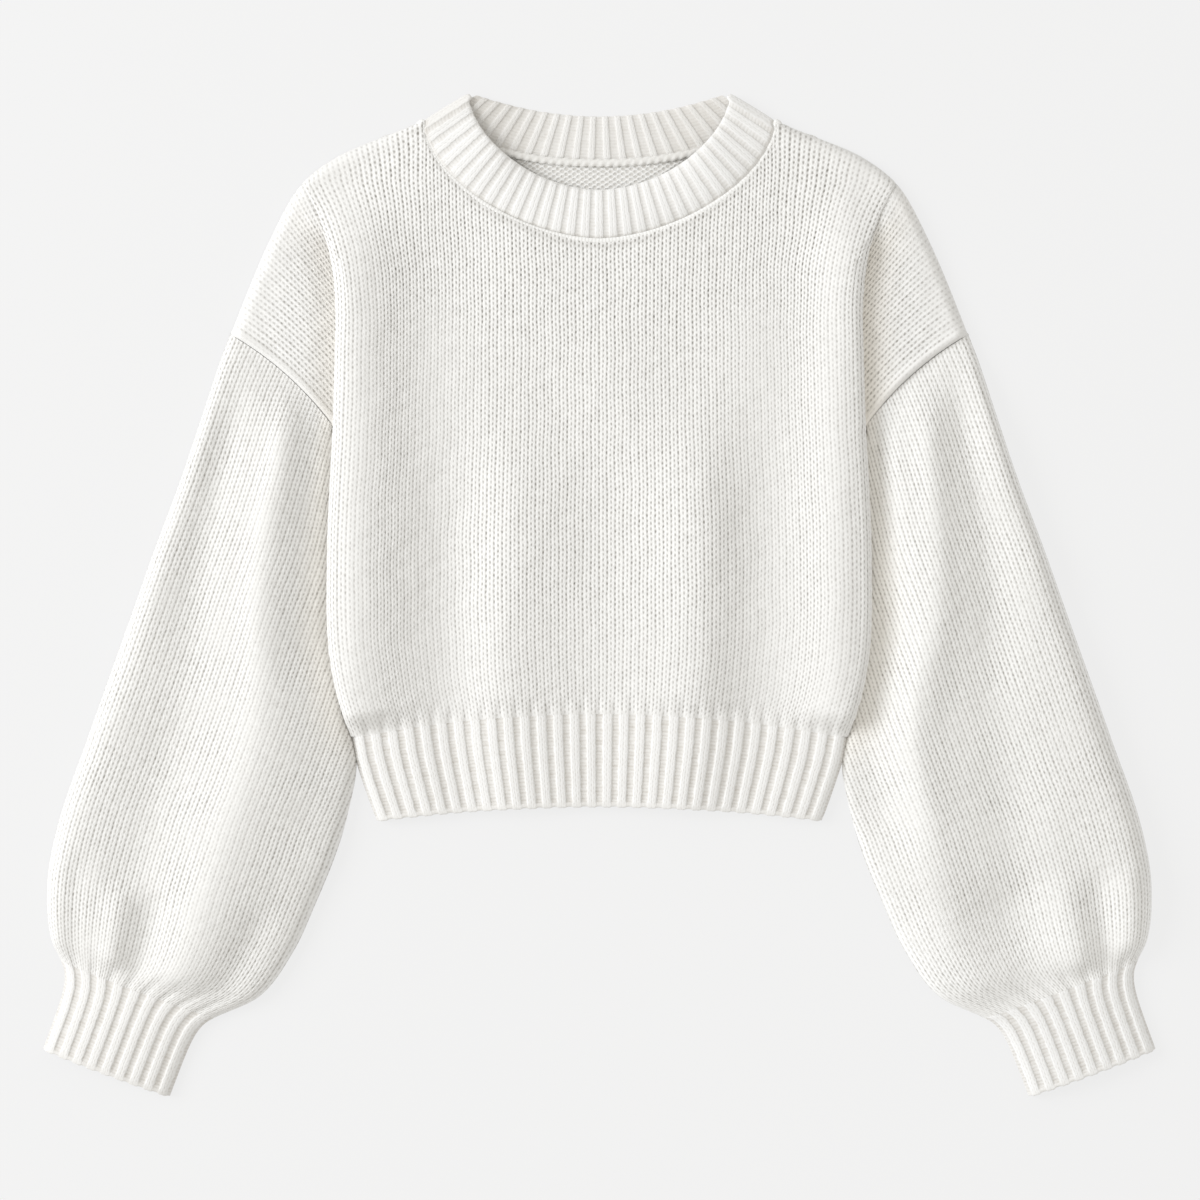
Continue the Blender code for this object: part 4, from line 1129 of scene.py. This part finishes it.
def neckband_patches():
    keys, loops = neckband_keys()
    u = rib_columns(int(math.ceil(keys[-1])))
    u = u[u <= keys[-1] + 1e-6]
    grid = curve(keys, loops)(u)
    # Finer across the band
    around = lengths(grid[0])
    outer_run = around[len(SECTION) - 1]
    rows = int(outer_run / COURSE * ROWS)
    faces = (np.linspace(0, outer_run, rows), np.linspace(outer_run, around[-1], rows)[1:])
    at = np.hstack(faces)[:, None]
    grid = curve(around, np.swapaxes(grid, 0, 1))(at[:, 0])
    full = np.hstack((mirrored(grid)[:, :-1], grid))
    u, v = np.broadcast_arrays(np.hstack((-u[::-1][:-1], u)), at / COURSE)
    # The ribs are narrower inside the back of the neck
    inside = smooth((np.abs(u) - 0.5 * FRONT_COLLAR_RIBS) / 1.2)
    nearest = np.floor(u + 0.5)
    ribs = nearest + clamp(0.5 + (u - nearest) * (1 + INSIDE_NARROWING * inside))
    edge = np.minimum(np.abs(at - outer_run), np.minimum(at, around[-1] - at))
    fade = smooth(edge / 4 + 0.1)
    relief = COLLAR_RELIEF * (rib_height(ribs, v) - 0.3) * fade
    full = full + surface_normals(full) * relief[..., None]
    full[..., 2] = np.maximum(full[..., 2], 0)
    # Painted shade inside the neck, deeper toward both ends, and a painted shade line beside the seam
    tone = 1 - inside * (1 - neck_tone(full[..., 0]))
    tone = tone - JOIN_SHADE * (1 - inside) * bump(at - 1.9, 1.3)
    # Painted shade darkens the fold at the wearer's right neck point, which faces the lamp
    tone = tone - 0.09 * bump(-u - 0.5 * FRONT_COLLAR_RIBS * 0.98, 0.9)
    return [patch(full, ribs, v, open_gaps=0.3 + 0.7 * fade, tone=tone)]


def cord_patch(path, wide, high, course, tone=1, twist=0):
    """A flat cord along a path of (x, y, z) points, with half sizes for each; u is 0 to 1 over its top.

    twist is the depth, as a share of its size, of the grooves that wind round it, one in each course.
    """
    angle = np.linspace(-math.pi, math.pi, 13)[:, None]
    tangent = unit(np.gradient(path, axis=0))
    out = np.pad(-quarter_turn(unit(tangent[:, :2])), ((0, 0), (0, 1)))
    # Its side stays the same one where the path turns over an edge and comes back below
    middle = len(path) // 2
    for step, places in ((1, range(middle + 1, len(path))), (-1, range(middle - 1, -1, -1))):
        for place in places:
            if out[place] @ out[place - step] < 0:
                out[place] *= -1
    up = np.cross(out, tangent)
    run = lengths(path) / course
    size = 1 - twist * (1 - np.abs(np.cos(angle - math.pi * run)))
    points = path + out * (wide * np.cos(angle) * size)[..., None]
    points = points + up * (high * np.sin(angle) * size)[..., None]
    points[..., 2] = np.maximum(points[..., 2], UNDER_LEVEL)
    return patch(points, angle / math.pi, run, tone=tone)


def neck_edge():
    """Smooth sewn edge that covers the join of neckband and front and turns over both shoulders."""
    fine = np.linspace(0, 0.5 * math.pi, 2001)
    fine = fine[neckline(fine)[:, 1] < NECK_POINT[1] - NECK_TURN]
    flat = neckline(np.linspace(0, fine[-1], 170))
    flat = flat - quarter_turn(unit(np.gradient(flat, axis=0))) * NECK_EDGE_OUT
    turn = np.linspace(0, math.pi, 16)[1:]
    over = flat[-1] + SHOULDER_OUT * NECK_TURN * np.sin(turn)[:, None]
    radius = 0.5 * (NECK_JOIN - 0.4)
    level = np.append(np.full(len(flat), NECK_JOIN), NECK_JOIN - radius * (1 - np.cos(turn)))
    half = at_level(np.vstack((flat, over)), level)
    path = np.vstack((half[:0:-1] * (-1, 1, 1), half))
    # Wider and flatter where it closes the corner between collar, front and back
    corner = ramp(path[:, 1], NECK_POINT[1] - 12, NECK_POINT[1] - 3)
    return cord_patch(path, 1.9 + 0.9 * corner, 1.5 - 0.3 * corner, EDGE_TURN)


neckband = make_piece("neckband_ribbing", neckband_patches(), collar_rib, ["neckband"])
neck_seam = make_piece("neckband_edge", [neck_edge()], seam_cloth)


# Back


def back_width(y):
    """Half width of the back panel at a level."""
    seam = [tuple(blend(ARMPIT, SLEEVE_TIP, s)) for s in np.linspace(0, 1, 8)]
    line = [(x, y) for y, x in BODY_SIDE if y < ARMPIT[1]] + seam + list(SHOULDER_LINE)[::-1][1:]
    return np.interp(y, [p[1] for p in line], [p[0] for p in line]) - 1


def back_patches():
    """Back of the sweater: purl side up, finest where the neck shows it."""
    inner = np.arange(-BACK_WALES * COLUMNS, BACK_WALES * COLUMNS + 1) / COLUMNS * WALE
    outer = np.linspace(0, 1, 24)[1:]
    low_rows = np.arange(HEM_SEAM_Y, BACK_FINE_Y, 4 * COURSE)
    high_rows = np.arange(BACK_FINE_Y, NECK_POINT[1] + 0.01, COURSE / ROWS)
    rows = np.hstack((low_rows, high_rows))[:, None]
    right = blend(inner[-1], back_width(rows), outer)
    middle = np.broadcast_to(inner, (len(rows), len(inner)))
    x = np.hstack((-right[:, ::-1], middle, right))
    y = np.broadcast_to(rows, x.shape).copy()
    y[0] = hem_seam(x[0])
    limit = np.minimum(back_neckline(x) - CHAIN_DROP, NECK_POINT[1])
    last = np.minimum((y < limit).cumprod(axis=0).sum(axis=0), len(rows) - 1)
    y = np.minimum(y, limit)
    u, v = x / WALE, y / COURSE
    wave = PURL_WAVE * np.cos(2 * math.pi * u)
    loops = 1 - np.abs(np.cos(math.pi * (v + wave)) * np.sin(math.pi * (v - wave)))
    z = BACK_LEVEL + RELIEF * loops * ramp(y, BACK_FINE_Y, BACK_FINE_Y + 6)
    # Painted shade darkens the back away from its middle, where it shows inside the neck
    return [patch(np.stack((x, y, z), -1), u, v, last=last, tone=neck_tone(x, 1))]


def back_chain():
    """Chain of stitches that covers the seam inside the back of the neck."""
    x = np.linspace(-CHAIN_END_X, CHAIN_END_X, 720)
    path = np.stack((x, back_neckline(x) - CHAIN_DROP, np.full(len(x), CHAIN_LEVEL)), -1)
    # Painted shade darkens the chain inside the neck, most toward both ends
    return cord_patch(path, 3, 2.3, WALE, tone=INSIDE_PAINTED_SHADE * neck_tone(x), twist=0.22)


back = make_piece("back_knit", back_patches(), purl, ["back"])
chain = make_piece("back_neck_chain", [back_chain()], seam_cloth)
thickness = back.modifiers.new("thickness", "SOLIDIFY")
thickness.thickness = 2.4 * METRES
thickness.offset = -1

# Floor, light and camera

world = bpy.data.worlds.new("studio")
bpy.context.scene.world = world
world.use_nodes = True
sky = {"Color": (1, 0.98, 0.94, 1), "Strength": 0.76}
set_inputs(world.node_tree, world.node_tree.nodes["Background"], sky)

floor_mesh = bpy.data.meshes.new("floor")
floor_mesh.from_pydata([(-4, -4, 0), (4, -4, 0), (4, 4, 0), (-4, 4, 0)], [], [(0, 1, 2, 3)])
floor_material = new_material("floor")
glow = {"Base Color": (0.1, 0.1, 0.1, 1), "Roughness": 0.9}
glow.update({"Emission Color": (1, 1, 1, 1), "Emission Strength": 0.762})
set_inputs(floor_material.node_tree, floor_material.node_tree.nodes["Principled BSDF"], glow)
floor_mesh.materials.append(floor_material)
floor = add_object("floor", floor_mesh)

lamp_data = bpy.data.lights.new("key", "AREA")
lamp_data.size = 2
lamp_data.energy = 95
lamp_data.color = (0.985, 1, 1.03)
lamp = add_object("key", lamp_data)
lamp.location = (-3, 0.8, 2.2)
lamp.rotation_euler = lamp.location.to_track_quat("Z", "Y").to_euler()

camera_data = bpy.data.cameras.new("camera")
camera_data.lens = 100
camera_data.sensor_width = 36
camera = add_object("camera", camera_data)
camera.location = (0.0005, -0.0033, 2.3366)
bpy.context.scene.camera = camera
bpy.context.scene.view_settings.view_transform = "Standard"
